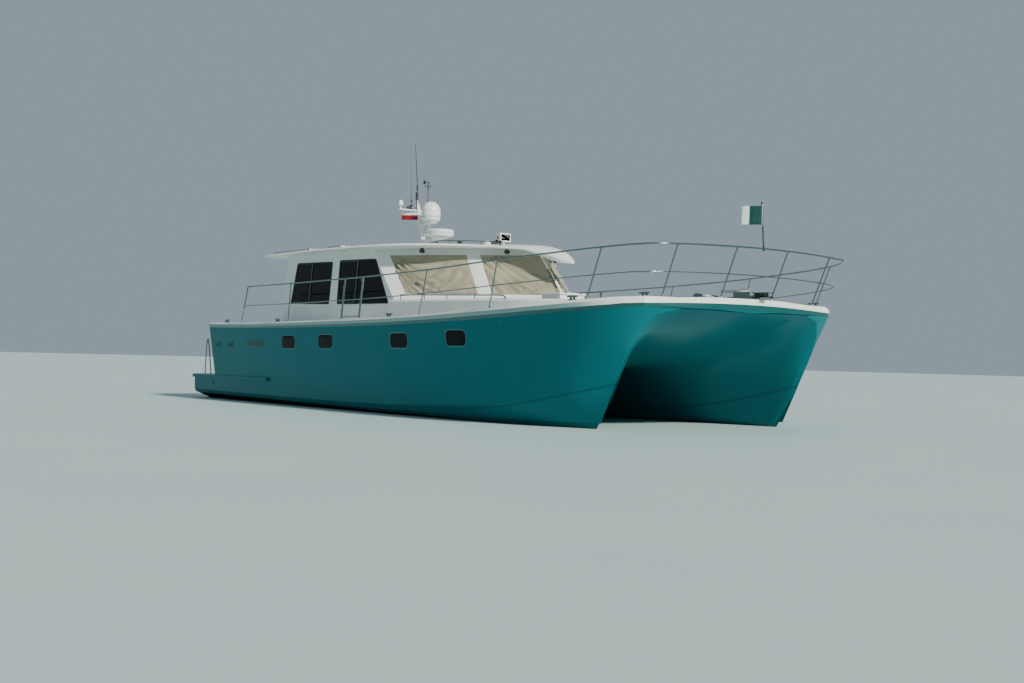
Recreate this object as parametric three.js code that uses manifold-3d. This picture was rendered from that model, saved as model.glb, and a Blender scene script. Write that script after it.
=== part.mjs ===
// A fifteen-metre power catamaran: two slim hulls under one bridgedeck, a low saloon with a faceted
// windscreen, stainless rails all round, twin shafts and rudders.
// Millimetres. X points to the bow, Y to port, Z up. The origin is amidships on the waterline.
import * as THREE from "three";
import { mergeVertices } from "three/addons/utils/BufferGeometryUtils.js";
import Module from "manifold-3d";

const wasm = await Module();
wasm.setup();

// Driving dimensions
const GAP = 0.3; // between touching pieces
const HULL_Y = 2050; // centreline of each hull from the boat's centreline
const SOLE_Z = 1150; // cockpit and saloon floor
const WALL = 50; // moulded walls of the house and the floor tub
const SCREEN_FOOT_Z = 2280; // foot of the windscreen on the trunk
const SCREEN_HEAD_Z = 3080;
const PLATFORM_Z = 550; // top of the bathing platforms
const TRANSOM_X = -6700; // at the deck
const TRANSOM_FOOT_X = -6350; // at the platform
const RAIL_HEIGHT = 790;
const MID_RAIL = 0.47; // height of the middle rail as a share of the top rail's
const RAIL_Y = 2923; // stanchion line from the centreline

const COLOURS = {
  hull: [0x00686c, 0.25, 0],
  white: [0xf1f3f0, 0.35, 0],
  steel: [0xc4c8ca, 0.25, 1],
  glass: [0x0a1416, 0.08, 0],
  canvas: [0xcfc6b0, 0.9, 0],
  black: [0x17181a, 0.5, 0],
  bronze: [0x9a7438, 0.4, 1],
  engine: [0x8d9294, 0.6, 0.3],
  galvanised: [0x93989a, 0.55, 0.9],
  solar: [0x10162b, 0.2, 0],
  wood: [0x8a5a33, 0.5, 0],
  cushion: [0xd8d2c4, 0.85, 0],
  flag: [0xe8ecea, 0.9, 0],
  ensign: [0xa8242c, 0.9, 0],
};
const group = new THREE.Group();
const { isClockWise } = THREE.ShapeUtils;

// Solids and meshes
function solid(geometry) {
  const g = geometry.clone();
  g.deleteAttribute("normal");
  g.deleteAttribute("uv");
  const merged = mergeVertices(g, 1e-3);
  return new wasm.Manifold(
    new wasm.Mesh({
      numProp: 3,
      vertProperties: merged.attributes.position.array,
      triVerts: new Uint32Array(merged.index.array),
    }),
  );
}

function geometryOf(body) {
  const m = body.getMesh();
  const g = new THREE.BufferGeometry();
  g.setAttribute("position", new THREE.BufferAttribute(m.vertProperties, 3));
  g.setIndex(new THREE.BufferAttribute(m.triVerts, 1));
  return g;
}

function moved(body, x, y, z) {
  return solid(geometryOf(body).translate(x, y, z));
}

// The same body on the other side of the boat.
function mirrored(body) {
  const g = geometryOf(body).scale(1, -1, 1);
  const index = g.index.array;
  for (let i = 0; i < index.length; i += 3) {
    [index[i + 1], index[i + 2]] = [index[i + 2], index[i + 1]];
  }
  return solid(g);
}

function add(name, body, colour) {
  const [color, roughness, metalness] = COLOURS[colour];
  const geometry = geometryOf(body).toNonIndexed();
  geometry.computeVertexNormals();
  const mesh = new THREE.Mesh(
    geometry,
    new THREE.MeshStandardMaterial({ color, roughness, metalness }),
  );
  mesh.name = name;
  group.add(mesh);
}

// Each side's copy of a body that is drawn on the port side, y > 0.
function addPair(name, body, colour) {
  add(name + "_port", body, colour);
  add(name + "_starboard", mirrored(body), colour);
}

const union = (bodies) => bodies.reduce((a, b) => a.add(b));

const biggest = (body) => body.decompose().sort((a, b) => b.volume() - a.volume())[0];

// What is left of a body around a neighbour, with the gap kept on every side.
function clearOf(body, neighbour) {
  let left = body;
  for (const s of [-GAP, GAP]) {
    left = left.subtract(moved(neighbour, s, 0, 0));
    left = left.subtract(moved(neighbour, 0, s, 0));
    left = left.subtract(moved(neighbour, 0, 0, s));
  }
  return left;
}

// Shapes
function box(x0, x1, y0, y1, z0, z1) {
  const g = new THREE.BoxGeometry(x1 - x0, y1 - y0, z1 - z0);
  return solid(g.translate((x0 + x1) / 2, (y0 + y1) / 2, (z0 + z1) / 2));
}

function outline(points) {
  return new THREE.Shape(points.map(([a, b]) => new THREE.Vector2(a, b)));
}

// A plan outline, of x and y, from z0 up to z1.
function planPrism(points, z0, z1) {
  const g = new THREE.ExtrudeGeometry(outline(points), { depth: z1 - z0, bevelEnabled: false });
  return solid(g.translate(0, 0, z0));
}

// A profile, of x and z, from y0 to y1.
function sidePrism(points, y0, y1) {
  const g = new THREE.ExtrudeGeometry(outline(points), { depth: y1 - y0, bevelEnabled: false });
  return solid(g.rotateX(Math.PI / 2).translate(0, y1, 0));
}

function rod(from, to, r0, r1 = r0, sides = 8) {
  const a = new THREE.Vector3(...from);
  const b = new THREE.Vector3(...to);
  const g = new THREE.CylinderGeometry(r1, r0, a.distanceTo(b), sides);
  const turn = new THREE.Quaternion().setFromUnitVectors(
    new THREE.Vector3(0, 1, 0),
    b.clone().sub(a).normalize(),
  );
  g.applyQuaternion(turn);
  const middle = a.add(b).multiplyScalar(0.5);
  return solid(g.translate(middle.x, middle.y, middle.z));
}

function tube(points, r, steps, sides = 8) {
  const path = points.map((p) => new THREE.Vector3(...p));
  const curve = new THREE.CatmullRomCurve3(path, false, "centripetal");
  const ring = new THREE.Shape();
  for (let i = 0; i < sides; i++) {
    const a = (i / sides) * 2 * Math.PI;
    const [u, v] = [r * Math.cos(a), r * Math.sin(a)];
    if (i === 0) ring.moveTo(u, v);
    else ring.lineTo(u, v);
  }
  return solid(new THREE.ExtrudeGeometry(ring, { extrudePath: curve, steps, bevelEnabled: false }));
}

// A turned body about a vertical axis at x, y: profile points are radius and height.
function turned(profile, x, y, sides = 20) {
  const g = new THREE.LatheGeometry(profile.map(([r, z]) => new THREE.Vector2(r, z)), sides);
  return solid(g.rotateX(Math.PI / 2).translate(x, y, 0));
}

// A skin through sections that have the same number of points, closed at both ends.
// uv gives the two coordinates in which the end faces are laid out.
function loft(sections, uv = (p) => [p[1], p[2]]) {
  const n = sections[0].length;
  const position = sections.flat(2);
  const index = [];
  for (let s = 0; s + 1 < sections.length; s++) {
    for (let i = 0; i < n; i++) {
      const a = s * n + i;
      const b = s * n + ((i + 1) % n);
      index.push(a, b, b + n, a, b + n, a + n);
    }
  }
  for (const s of [0, sections.length - 1]) {
    const flat = sections[s].map((p) => new THREE.Vector2(...uv(p)));
    for (const face of THREE.ShapeUtils.triangulateShape(flat, [])) {
      const same = isClockWise(face.map((i) => flat[i])) === isClockWise(flat);
      const corners = face.map((i) => s * n + i);
      index.push(...(same === (s === 0) ? corners.reverse() : corners));
    }
  }
  const g = new THREE.BufferGeometry();
  g.setAttribute("position", new THREE.Float32BufferAttribute(position, 3));
  g.setIndex(index);
  const volume = signedVolume(position, index);
  if (volume < 0) {
    for (let i = 0; i < index.length; i += 3) [index[i + 1], index[i + 2]] = [index[i + 2], index[i + 1]];
    g.setIndex(index);
  }
  return solid(g);
}

// Both halves of a body whose port half is lofted from the centreline outwards.
function bothHalves(sections, uv) {
  const port = loft(sections, uv);
  return port.add(mirrored(port));
}

function signedVolume(position, index) {
  const at = (i) => new THREE.Vector3(...position.slice(3 * i, 3 * i + 3));
  let sum = 0;
  for (let i = 0; i < index.length; i += 3) {
    sum += at(index[i]).dot(at(index[i + 1]).cross(at(index[i + 2])));
  }
  return sum;
}

// A flat plate through points in one plane, reaching from back to front along that plane's normal.
function plate(points, back, front) {
  const p = points.map((q) => new THREE.Vector3(...q));
  const normal = p[1].clone().sub(p[0]).cross(p[2].clone().sub(p[0])).normalize();
  const along = p[1].clone().sub(p[0]).normalize();
  const across = normal.clone().cross(along);
  const shift = (d) => p.map((q) => q.clone().addScaledVector(normal, d).toArray());
  const uv = (q) => {
    const v = new THREE.Vector3(...q).sub(p[0]);
    return [v.dot(along), v.dot(across)];
  };
  return loft([shift(back), shift(front)], uv);
}

// A table's row at x: a smooth curve through the values of each column, of which the first is x.
function rowAt(table, x) {
  let i = 1;
  while (i < table.length - 1 && table[i][0] < x) i++;
  const [a, b] = [table[i - 1], table[i]];
  const [before, after] = [table[i - 2] ?? a, table[i + 1] ?? b];
  const h = b[0] - a[0];
  const t = (x - a[0]) / h;
  return a.map((v, k) => {
    const slopeA = (b[k] - before[k]) / (b[0] - before[0]);
    const slopeB = (after[k] - v) / (after[0] - a[0]);
    const fromA = v * (1 + 2 * t) + t * h * slopeA;
    const fromB = b[k] * (3 - 2 * t) - (1 - t) * h * slopeB;
    return fromA * (1 - t) ** 2 + fromB * t ** 2;
  });
}

// Hulls and bridgedeck: stations from the stern to the stems, y from the centreline.
// Columns: x at the sheer, x at the keel, bulge of the front edge at the centreline, hollow of the
// flared side, height of the deck's edge above the sheer, then y and z of the sheer, the knuckle,
// the chine, the keel, the inner chine, the inner wall, the haunch and the shoulder of the tunnel's
// arch, and z of its ceiling.
const STATIONS = [
  [-7560, -7560, 0, 0, 105, 2950, 1650, 2930, 200, 2880, 130,
    2050, -200, 1230, 40, 1200, 480, 1130, 660, 900, 760, 780],
  [-4600, -4600, 0, 0, 120, 3030, 1610, 2970, 190, 2910, 120,
    2050, -330, 1220, 40, 1180, 500, 1100, 690, 870, 790, 810],
  [-1500, -1500, 0, 0, 138, 3030, 1617, 2960, 180, 2890, 100,
    2050, -430, 1240, 30, 1180, 500, 1100, 700, 860, 810, 830],
  [1400, 1300, 0, 0, 150, 3030, 1647, 2940, 190, 2860, 90,
    2050, -440, 1310, 30, 1210, 520, 1110, 740, 870, 850, 870],
  [3900, 3450, 0, 15, 168, 3020, 1712, 2860, 270, 2730, 85,
    2050, -410, 1470, 40, 1310, 560, 1150, 800, 890, 920, 940],
  [5500, 4840, 10, 35, 175, 2925, 1782, 2690, 380, 2500, 85,
    2050, -370, 1700, 60, 1520, 640, 1260, 950, 930, 1090, 1110],
  [6600, 5680, 40, 45, 172, 2690, 1850, 2440, 510, 2240, 85,
    2045, -330, 1900, 80, 1760, 800, 1480, 1200, 1040, 1380, 1400],
  [7150, 6050, 120, 25, 166, 2370, 1900, 2180, 600, 2105, 88,
    2042, -315, 1980, 90, 1910, 850, 1740, 1420, 1230, 1640, 1670],
  [7405, 6228, 235, 0, 160, 2060, 1930, 2060, 660, 2056, 90,
    2040, -300, 2024, 90, 2022, 900, 2008, 1500, 1660, 1885, 1902],
];
const RUDDER_X = -6760;
const STATION_XS = [
  -7560, RUDDER_X, -5900, -4600, -3000, -1500, 0, 1400, 2700, 3900,
  4800, 5500, 6100, 6600, 6900, 7150, 7290, 7405,
];
const BOW_X = 7405; // top of the stems
const LEDGE = 45; // step under the chine
const STEM_STEP = 0.55; // and its reach forward at the stem, as a share of the bulge
const DECK_CROWN = 35;
const SIDE_POINTS = [0.33, 0.67]; // shares of the way down the flared side
const DECK_POINTS = [0, 0.35, 0.7]; // shares of the half-width
const ARCH_STEPS = 9;

function hullSection(row) {
  const [xs, xk, bulge, hollow, , ys, zs, yn, zn, yc, zc, yk, zk, yi, zi, yw, zw, yf, zf, yg, zg, zt] = row;
  const front = (y) => bulge * (1 - (y / ys) ** 2);
  const rake = (z) => xk + ((xs - xk) * (z - zk)) / (zs - zk);
  const step = Math.min(LEDGE, (yc - yk) / 3);
  const arch = new THREE.SplineCurve(
    [
      [yi, zi],
      [yw, zw],
      [yf, zf],
      [yg, zg],
      [0.45 * yg, zt],
      [0, zt],
    ].map(([y, z]) => new THREE.Vector2(y, z)),
  );
  return [
    ...DECK_POINTS.map((t) => [xs + front(t * ys), t * ys, zs]),
    [xs, ys, zs],
    ...SIDE_POINTS.map((t) => {
      const z = zs + t * (zn - zs);
      return [rake(z), ys + t * (yn - ys) - 4 * t * (1 - t) * hollow, z];
    }),
    [rake(zn), yn, zn],
    [rake(zc), yc, zc],
    [rake(zc - 10) - STEM_STEP * bulge, yc - step, zc - 10],
    [xk - STEM_STEP * bulge, yk, zk],
    ...arch.getPoints(ARCH_STEPS).map((p, i) => {
      const y = i === ARCH_STEPS ? 0 : p.x;
      return [rake(p.y) + front(y) - (i === 0 ? STEM_STEP * bulge : 0), y, p.y];
    }),
  ];
}

function deckSection(row) {
  const [xs, , bulge, , edge, ys, zs] = row;
  const front = (y) => bulge * (1 - (y / ys) ** 2);
  const top = zs + edge;
  return [
    ...DECK_POINTS.map((t) => [xs + front(t * ys), t * ys, zs + GAP]),
    [xs, ys, zs + GAP],
    [xs + 12, ys + 12, zs + 0.35 * edge],
    [xs + 8, ys + 6, zs + 0.75 * edge],
    [xs - 25, ys - 40, top],
    ...DECK_POINTS.toReversed().map((t) => {
      return [xs - 25 + front(t * ys), t * ys, top + DECK_CROWN * (1 - t * t)];
    }),
  ];
}

// Height of the deck's surface away from the trunk, from the same stations
function deckZ(x, y) {
  const [, , , , edge, ys, zs] = rowAt(STATIONS, Math.min(x, BOW_X));
  return zs + edge + DECK_CROWN * (1 - Math.min(1, Math.abs(y) / ys) ** 2);
}

// The floor tub of cockpit and saloon: plan outline of its outside, port half
const COCKPIT_AFT = -5950;
const BULKHEAD_X = -4380; // after face of the saloon's bulkhead
const COCKPIT_Y = 1450;
const SALOON_Y = 2050;
const TUB_HALF = [
  [COCKPIT_AFT, COCKPIT_Y],
  [BULKHEAD_X, COCKPIT_Y],
  [BULKHEAD_X, SALOON_Y],
  [50, SALOON_Y],
  [1500, 1120],
];
const bothSides = (half) => [...half, ...half.map(([x, y]) => [x, -y]).reverse()];
// The same outline a wall's thickness further in
const TUB_INNER_HALF = [
  [COCKPIT_AFT + WALL, COCKPIT_Y - WALL],
  [BULKHEAD_X + WALL, COCKPIT_Y - WALL],
  [BULKHEAD_X + WALL, SALOON_Y - WALL],
  [50 - WALL / 4, SALOON_Y - WALL],
  [1500 - WALL, 1120 - WALL / 2],
];
const tubOutside = planPrism(bothSides(TUB_HALF), SOLE_Z - WALL, 2500);
const tubPocket = planPrism(
  bothSides(TUB_HALF.map(([x, y], i) => [x + (i < 3 ? -GAP : GAP), y + GAP])),
  SOLE_Z - WALL - GAP,
  2500,
);
const tubInside = planPrism(bothSides(TUB_INNER_HALF), SOLE_Z, 2600);

// Engine rooms, reached from hatches in the after deck
const ENGINE_ROOM = { x0: -5330, x1: -3600, y0: HULL_Y - 410, y1: HULL_Y + 410, z0: 0, z1: 1040 };
const HATCH_X = [-5330, -4470];
const LID_SEAT_Z = 1710;
const LID_LEDGE = 30;
const engineRoom = union([
  box(ENGINE_ROOM.x0, ENGINE_ROOM.x1, ENGINE_ROOM.y0, ENGINE_ROOM.y1, ENGINE_ROOM.z0, ENGINE_ROOM.z1),
  box(
    HATCH_X[0] + LID_LEDGE,
    HATCH_X[1] - LID_LEDGE,
    ENGINE_ROOM.y0 + LID_LEDGE,
    ENGINE_ROOM.y1 - LID_LEDGE,
    ENGINE_ROOM.z0,
    2000,
  ),
]);
const lidRecess = box(HATCH_X[0], HATCH_X[1], ENGINE_ROOM.y0, ENGINE_ROOM.y1, LID_SEAT_Z, 2000);

// Stairs in each transom, up from the platform
const STAIR_Y = [1500, 2140];
const STAIR_TREAD = 320;
const STAIRS = 3;
const STAIR_RISE = (1740 - PLATFORM_Z) / (STAIRS + 1);
const STAIR_TOP_X = TRANSOM_FOOT_X + STAIRS * STAIR_TREAD;
const stairWell = box(-7760, STAIR_TOP_X, STAIR_Y[0], STAIR_Y[1], PLATFORM_Z, 2000);

const KEEL_Z = -920;
const KEEL_AFT_X = -4650;
const transomCut = sidePrism(
  [
    [-8200, PLATFORM_Z],
    [TRANSOM_FOOT_X, PLATFORM_Z],
    [TRANSOM_X, 1700],
    [TRANSOM_X - 20, 2100],
    [-8200, 2100],
  ],
  -3000,
  3000,
);
const platformRim = planPrism(
  [
    [-7720, 1250],
    [-7720, 2870],
    [-7660, 2950],
    [-3510, 3045],
    [-3510, 2800],
    [-6600, 2800],
    [-6600, 1250],
  ],
  PLATFORM_Z - 75,
  PLATFORM_Z,
);
const keel = sidePrism(
  [
    [KEEL_AFT_X, -250],
    [KEEL_AFT_X, KEEL_Z + 60],
    [KEEL_AFT_X + 100, KEEL_Z],
    [1500, KEEL_Z],
    [3300, -380],
    [3300, -250],
  ],
  HULL_Y - 60,
  HULL_Y + 60,
);

const stations = STATION_XS.map((x) => rowAt(STATIONS, x));
let hull = bothHalves(stations.map(hullSection));
hull = hull.subtract(transomCut);
for (const piece of [platformRim, keel]) hull = hull.add(piece).add(mirrored(piece));
for (const space of [engineRoom, stairWell]) hull = hull.subtract(space).subtract(mirrored(space));
hull = hull.subtract(tubPocket);
// The shell is moulded in three parts, bonded along two joints in the tunnel's roof: a hull to each
// side and the bridgedeck between them.
const JOINT_Y = 1100;
addPair("hull", hull.intersect(box(-8000, 8000, JOINT_Y + GAP, 3200, -1200, 2400)), "hull");
add("bridgedeck", hull.intersect(box(-8000, 8000, -JOINT_Y, JOINT_Y, -1200, 2400)), "hull");

// Deck moulding: side decks, foredeck, trunk and the floor tub in one
const TRUNK = [
  // x, half-width at the foot, half-width at the top, height of the top's edge
  [50, 2215, 2200, 2170],
  [2500, 2140, 2110, 2150],
  [3700, 1980, 1930, 2135],
  [4500, 1720, 1650, 2120],
  [5000, 1370, 1260, 2095],
  [5300, 940, 770, 2055],
];
const trunk = bothHalves(
  TRUNK.map(([x, foot, top, z]) => [
    [x, 0, deckZ(x, foot) - 60],
    [x, foot, deckZ(x, foot) - 60],
    [x, foot - 5, z - 40],
    [x, top - 25, z],
    [x, 0.5 * top, z + 45],
    [x, 0, z + 60],
  ]),
);
let deck = bothHalves(stations.map(deckSection)).subtract(transomCut);
deck = deck.add(trunk).add(tubOutside.intersect(box(-6000, 2000, -2500, 2500, 1000, 1800)));
deck = deck.subtract(tubInside);
const TRUNK_HATCH = { x: 3700, y: 750, z: 2240 };
const coaming = (h, half, depth) => [
  box(h.x - half, h.x + half, h.y - half, h.y + half, h.z - 80, h.z),
  box(h.x - half + 30, h.x + half - 30, h.y - half + 30, h.y + half - 30, h.z - depth, h.z + 50),
];
const [trunkRim, trunkWell] = coaming(TRUNK_HATCH, 270, 70);
deck = deck.add(trunkRim).add(mirrored(trunkRim));
for (const space of [engineRoom, stairWell, lidRecess, trunkWell]) {
  deck = deck.subtract(space).subtract(mirrored(space));
}

// Cleats bow, midships and stern, welded to the deck's reinforced pads
const CLEATS = [
  // x, y
  [7230, 1900],
  [6380, 2640],
  [1050, 2780],
  [-3570, 2780],
  [-6150, 2780],
];
function cleat(x, y) {
  const z = deckZ(x, y);
  return union([
    box(x - 90, x + 90, y - 30, y + 30, z - 60, z + 12),
    box(x - 55, x - 30, y - 12, y + 12, z, z + 60),
    box(x + 30, x + 55, y - 12, y + 12, z, z + 60),
    rod([x - 130, y, z + 62], [x + 130, y, z + 62], 13),
  ]);
}
for (const [x, y] of CLEATS) deck = deck.add(cleat(x, y)).add(mirrored(cleat(x, y)));

// Roof: sections from the after edge to the tip of the visor
const ROOF_SECTIONS = [
  // x, half-width, height of the underside, of the edge's top, of the centreline's top
  [-5250, 2350, 3218, 3252, 3290],
  [-5150, 2395, 3205, 3268, 3312],
  [-4400, 2420, 3200, 3272, 3330],
  [-3000, 2425, 3200, 3275, 3340],
  [-1800, 2400, 3200, 3275, 3342],
  [-900, 2330, 3200, 3275, 3342],
  [-400, 2240, 3200, 3275, 3340],
  [100, 2080, 3200, 3275, 3338],
  [600, 1740, 3200, 3276, 3334],
  [1100, 1260, 3198, 3266, 3324],
  [1600, 860, 3190, 3236, 3304],
  [2100, 480, 3150, 3190, 3268],
  [2400, 320, 3030, 3115, 3215],
  [2650, 245, 2950, 3030, 3145],
  [2830, 175, 2900, 2965, 3058],
  [2940, 100, 2888, 2930, 2982],
  [3010, 30, 2884, 2912, 2925],
];
const ROOF_POINTS = [0.75, 0.5, 0.25, 0]; // shares of the half-width
let roof = bothHalves(
  ROOF_SECTIONS.map(([x, w, under, edge, top]) => [
    [x, 0, under],
    [x, 0.95 * w, under],
    [x, w, 0.5 * (under + edge)],
    [x, 0.985 * w, edge],
    ...ROOF_POINTS.map((t) => [x, t * w, edge + (top - edge) * (1 - t * t)]),
  ]),
);
const ROOF_HATCH = { x: -2700, y: -1650, z: 3342 };
const [roofRim, roofWell] = coaming(ROOF_HATCH, 280, 60);
roof = roof.add(roofRim).subtract(roofWell);
add("roof", roof, "white");

// House: sides, windscreen frame and bulkhead, as outlines at the foot and the head of the windscreen
const HOUSE_FOOT = [
  [BULKHEAD_X, 2247.5],
  [70, 2150],
  [1720, 1081],
  [2814, 0],
];
const HOUSE_HEAD = [
  [BULKHEAD_X, 2183.5],
  [-680, 2102.4],
  [1086.3, 958.1],
  [2056, 0],
];
const HOUSE_BASE_Z = 1650;
const HOUSE_TOP_Z = 3240;
function houseOutline(z, inset) {
  const t = (z - SCREEN_FOOT_Z) / (SCREEN_HEAD_Z - SCREEN_FOOT_Z);
  const half = HOUSE_FOOT.map(([x, y], i) => {
    const [hx, hy] = HOUSE_HEAD[i];
    return [x + t * (hx - x), y + t * (hy - y)];
  });
  const [aft, side, corner, nose] = half;
  const aftX = aft[0] - (inset ? 100 : 0);
  const ring = [
    [aftX, 0],
    [aftX, aft[1] - inset],
    [side[0] - 0.2 * inset, side[1] - inset],
    [corner[0] - 0.65 * inset, corner[1] - 0.75 * inset],
    [nose[0] - 1.45 * inset, 0],
  ];
  return ring.map(([x, y]) => [x, y, z]);
}
const planUv = (p) => [p[0], p[1]];
const houseBody = (inset, z0, z1) => bothHalves([houseOutline(z0, inset), houseOutline(z1, inset)], planUv);

// The house's side, port: half-width at x and z. It narrows forward and leans inward.
const SIDE_TAPER = (HOUSE_FOOT[0][1] - HOUSE_FOOT[1][1]) / (HOUSE_FOOT[1][0] - BULKHEAD_X);
const SIDE_LEAN = (HOUSE_FOOT[0][1] - HOUSE_HEAD[0][1]) / (SCREEN_HEAD_Z - SCREEN_FOOT_Z);
const sideY = (x, z) => HOUSE_FOOT[0][1] - (x - BULKHEAD_X) * SIDE_TAPER - (z - SCREEN_FOOT_Z) * SIDE_LEAN;

// Side windows, x and z of the glass
const WINDOWS = [
  ["after", -4043, 2172, -2364, 2132, -2360, 3012, -3894, 3040],
  ["forward", -2030, 2127, -20, 2106, -640, 3002, -2064, 3028],
].map(([name, ...xz]) => [name, [0, 2, 4, 6].map((k) => [xz[k], xz[k + 1]])]);
const WINDOW_SEAT = 8; // the glass lies this far inside the house's side
const FIT = 0.5; // taken off a pane's outline all round
const GLASS = 10;
function centroid(points) {
  const sum = points.reduce((a, p) => a.map((v, i) => v + p[i]), points[0].map(() => 0));
  return sum.map((v) => v / points.length);
}
// The same outline drawn in towards its middle.
function shrunk(points, by) {
  const c = centroid(points);
  return points.map((p) => {
    const d = Math.hypot(...p.map((v, i) => v - c[i]));
    return p.map((v, i) => v - ((v - c[i]) * by) / d);
  });
}
const onSide = ([x, z]) => [x, sideY(x, z), z];

// Windscreen panes: port side pane and port front pane, each a four-cornered face of the house
const faceCorners = ([foot, nextFoot], [head, nextHead]) => [
  [...foot, SCREEN_FOOT_Z],
  [...nextFoot, SCREEN_FOOT_Z],
  [...nextHead, SCREEN_HEAD_Z],
  [...head, SCREEN_HEAD_Z],
];
const SCREENS = [
  ["side", faceCorners(HOUSE_FOOT.slice(1, 3), HOUSE_HEAD.slice(1, 3))],
  ["front", faceCorners(HOUSE_FOOT.slice(2, 4), HOUSE_HEAD.slice(2, 4))],
];
// A pane's outline: drawn in from its face by the pillars' and rails' widths, less a lap.
function pane(name, corners, lap) {
  const [a, b, c, d] = corners.map((p) => new THREE.Vector3(...p));
  const mix = (p, q, distance) => p.clone().lerp(q, (distance - lap) / p.distanceTo(q));
  const [after, forward] = PILLARS[name];
  const [a1, b1, c1, d1] = [mix(a, b, after), mix(b, a, forward), mix(c, d, forward), mix(d, c, after)];
  const inside = [
    mix(a1, d1, FOOT_RAIL),
    mix(b1, c1, FOOT_RAIL),
    mix(c1, b1, HEAD_RAIL),
    mix(d1, a1, HEAD_RAIL),
  ];
  return inside.map((p) => p.toArray());
}
const PILLARS = { side: [330, 150], front: [160, 70] }; // frame beside each pane, after and forward
const FOOT_RAIL = 35;
const HEAD_RAIL = 25;
const LAP = 15; // the canvas covers lap onto the frame by this much
const COVER = 6; // and stand this far off it

const houseInside = houseBody(WALL, HOUSE_BASE_Z - 50, HOUSE_TOP_Z + 50);
let house = houseBody(0, HOUSE_BASE_Z, HOUSE_TOP_Z).subtract(houseInside);
const openings = [];
for (const [, corners] of WINDOWS) openings.push(plate(corners.map(onSide), -150, 150));
for (const [name, corners] of SCREENS) {
  openings.push(plate(pane(name, corners, 0), -150, 150));
}
for (const opening of openings) house = house.subtract(opening).subtract(mirrored(opening));
house = biggest(clearOf(clearOf(house, roof), deck));
add("house", house, "white");

for (const [name, corners] of WINDOWS) {
  const glass = plate(shrunk(corners.map(onSide), FIT), WINDOW_SEAT, WINDOW_SEAT + GLASS);
  addPair("window_" + name, glass, "glass");
}
for (const [name, corners] of SCREENS) {
  const cover = biggest(clearOf(plate(pane(name, corners, LAP), -COVER, LAP / 10), house));
  addPair("screen_cover_" + name, cover, "canvas");
}
add("deck", deck, "white");

// Saloon bulkhead with its fixed windows and the track of the sliding door
const DOORWAY = { y0: -400, y1: 350, z0: SOLE_Z + 35, z1: 2990 };
const DOOR = { x0: BULKHEAD_X - 42, x1: BULKHEAD_X - 6, y0: -440, y1: 390, z0: SOLE_Z + 18.5, z1: 3015 };
const DOOR_TRAVEL = 790;
const BULKHEAD_WINDOW = { y0: 560, y1: 1330, z0: 1950, z1: 2900 };
const bulkX = [BULKHEAD_X + 2, BULKHEAD_X + WALL - 2];
const windowHole = box(
  bulkX[0] - 100,
  bulkX[1] + 100,
  BULKHEAD_WINDOW.y0,
  BULKHEAD_WINDOW.y1,
  BULKHEAD_WINDOW.z0,
  BULKHEAD_WINDOW.z1,
);
let bulkhead = box(bulkX[0], bulkX[1], -2290, 2290, SOLE_Z, 3240);
bulkhead = bulkhead.subtract(windowHole).subtract(mirrored(windowHole));
bulkhead = bulkhead.subtract(
  box(bulkX[0] - 100, bulkX[1] + 100, DOORWAY.y0, DOORWAY.y1, DOORWAY.z0, DOORWAY.z1),
);
for (const [z0, z1] of [[SOLE_Z, SOLE_Z + 18], [DOOR.z1 + 1, DOOR.z1 + 30]]) {
  bulkhead = bulkhead.add(box(DOOR.x0, bulkX[0] + 5, DOOR.y0, DOOR.y1 + DOOR_TRAVEL, z0, z1));
}
bulkhead = biggest(clearOf(clearOf(clearOf(bulkhead, roof), deck), house));
add("bulkhead", bulkhead, "white");
const bulkheadGlass = box(
  bulkX[0] + 10,
  bulkX[0] + 10 + GLASS,
  BULKHEAD_WINDOW.y0 + GAP,
  BULKHEAD_WINDOW.y1 - GAP,
  BULKHEAD_WINDOW.z0 + GAP,
  BULKHEAD_WINDOW.z1 - GAP,
);
addPair("bulkhead_window", bulkheadGlass, "glass");

const STILE = 70;
const doorLight = {
  y0: DOOR.y0 + STILE,
  y1: DOOR.y1 - STILE,
  z0: DOOR.z0 + 2 * STILE,
  z1: DOOR.z1 - STILE,
};
const doorHole = box(DOOR.x0 - 50, DOOR.x1 + 50, doorLight.y0, doorLight.y1, doorLight.z0, doorLight.z1);
const doorPull = box(DOOR.x0 - 30, DOOR.x0 + 2, DOOR.y0 + 25, DOOR.y0 + 45, 2050, 2350);
const doorLeaf = box(DOOR.x0, DOOR.x1, DOOR.y0, DOOR.y1, DOOR.z0, DOOR.z1);
const doorFrame = doorLeaf.subtract(doorHole).add(doorPull);
add("saloon_door", doorFrame, "white");
const doorGlass = box(
  DOOR.x0 + 13,
  DOOR.x0 + 13 + GLASS,
  doorLight.y0 + GAP,
  doorLight.y1 - GAP,
  doorLight.z0 + GAP,
  doorLight.z1 - GAP,
);
add("saloon_door_glass", doorGlass, "glass");

// Bathing platform pads with the stairs up to the deck
const CHEEK = 15; // side walls of the stair well
const stairProfile = [[-7560, PLATFORM_Z + 12]];
for (let k = 1; k <= STAIRS; k++) {
  const z = PLATFORM_Z + k * STAIR_RISE;
  const x = TRANSOM_FOOT_X + (k - 1) * STAIR_TREAD;
  const from = k === 1 ? PLATFORM_Z + 12 : z - STAIR_RISE;
  stairProfile.push([x, from], [x, z]);
}
stairProfile.push([STAIR_TOP_X - GAP, PLATFORM_Z + STAIRS * STAIR_RISE]);
stairProfile.push([STAIR_TOP_X - GAP, PLATFORM_Z + GAP], [-7560, PLATFORM_Z + GAP]);
const cheekProfile = [
  [TRANSOM_FOOT_X + 4, PLATFORM_Z + GAP],
  [STAIR_TOP_X - GAP, PLATFORM_Z + GAP],
  [STAIR_TOP_X - GAP, 1700],
  [TRANSOM_X + 8, 1700],
];
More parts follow.
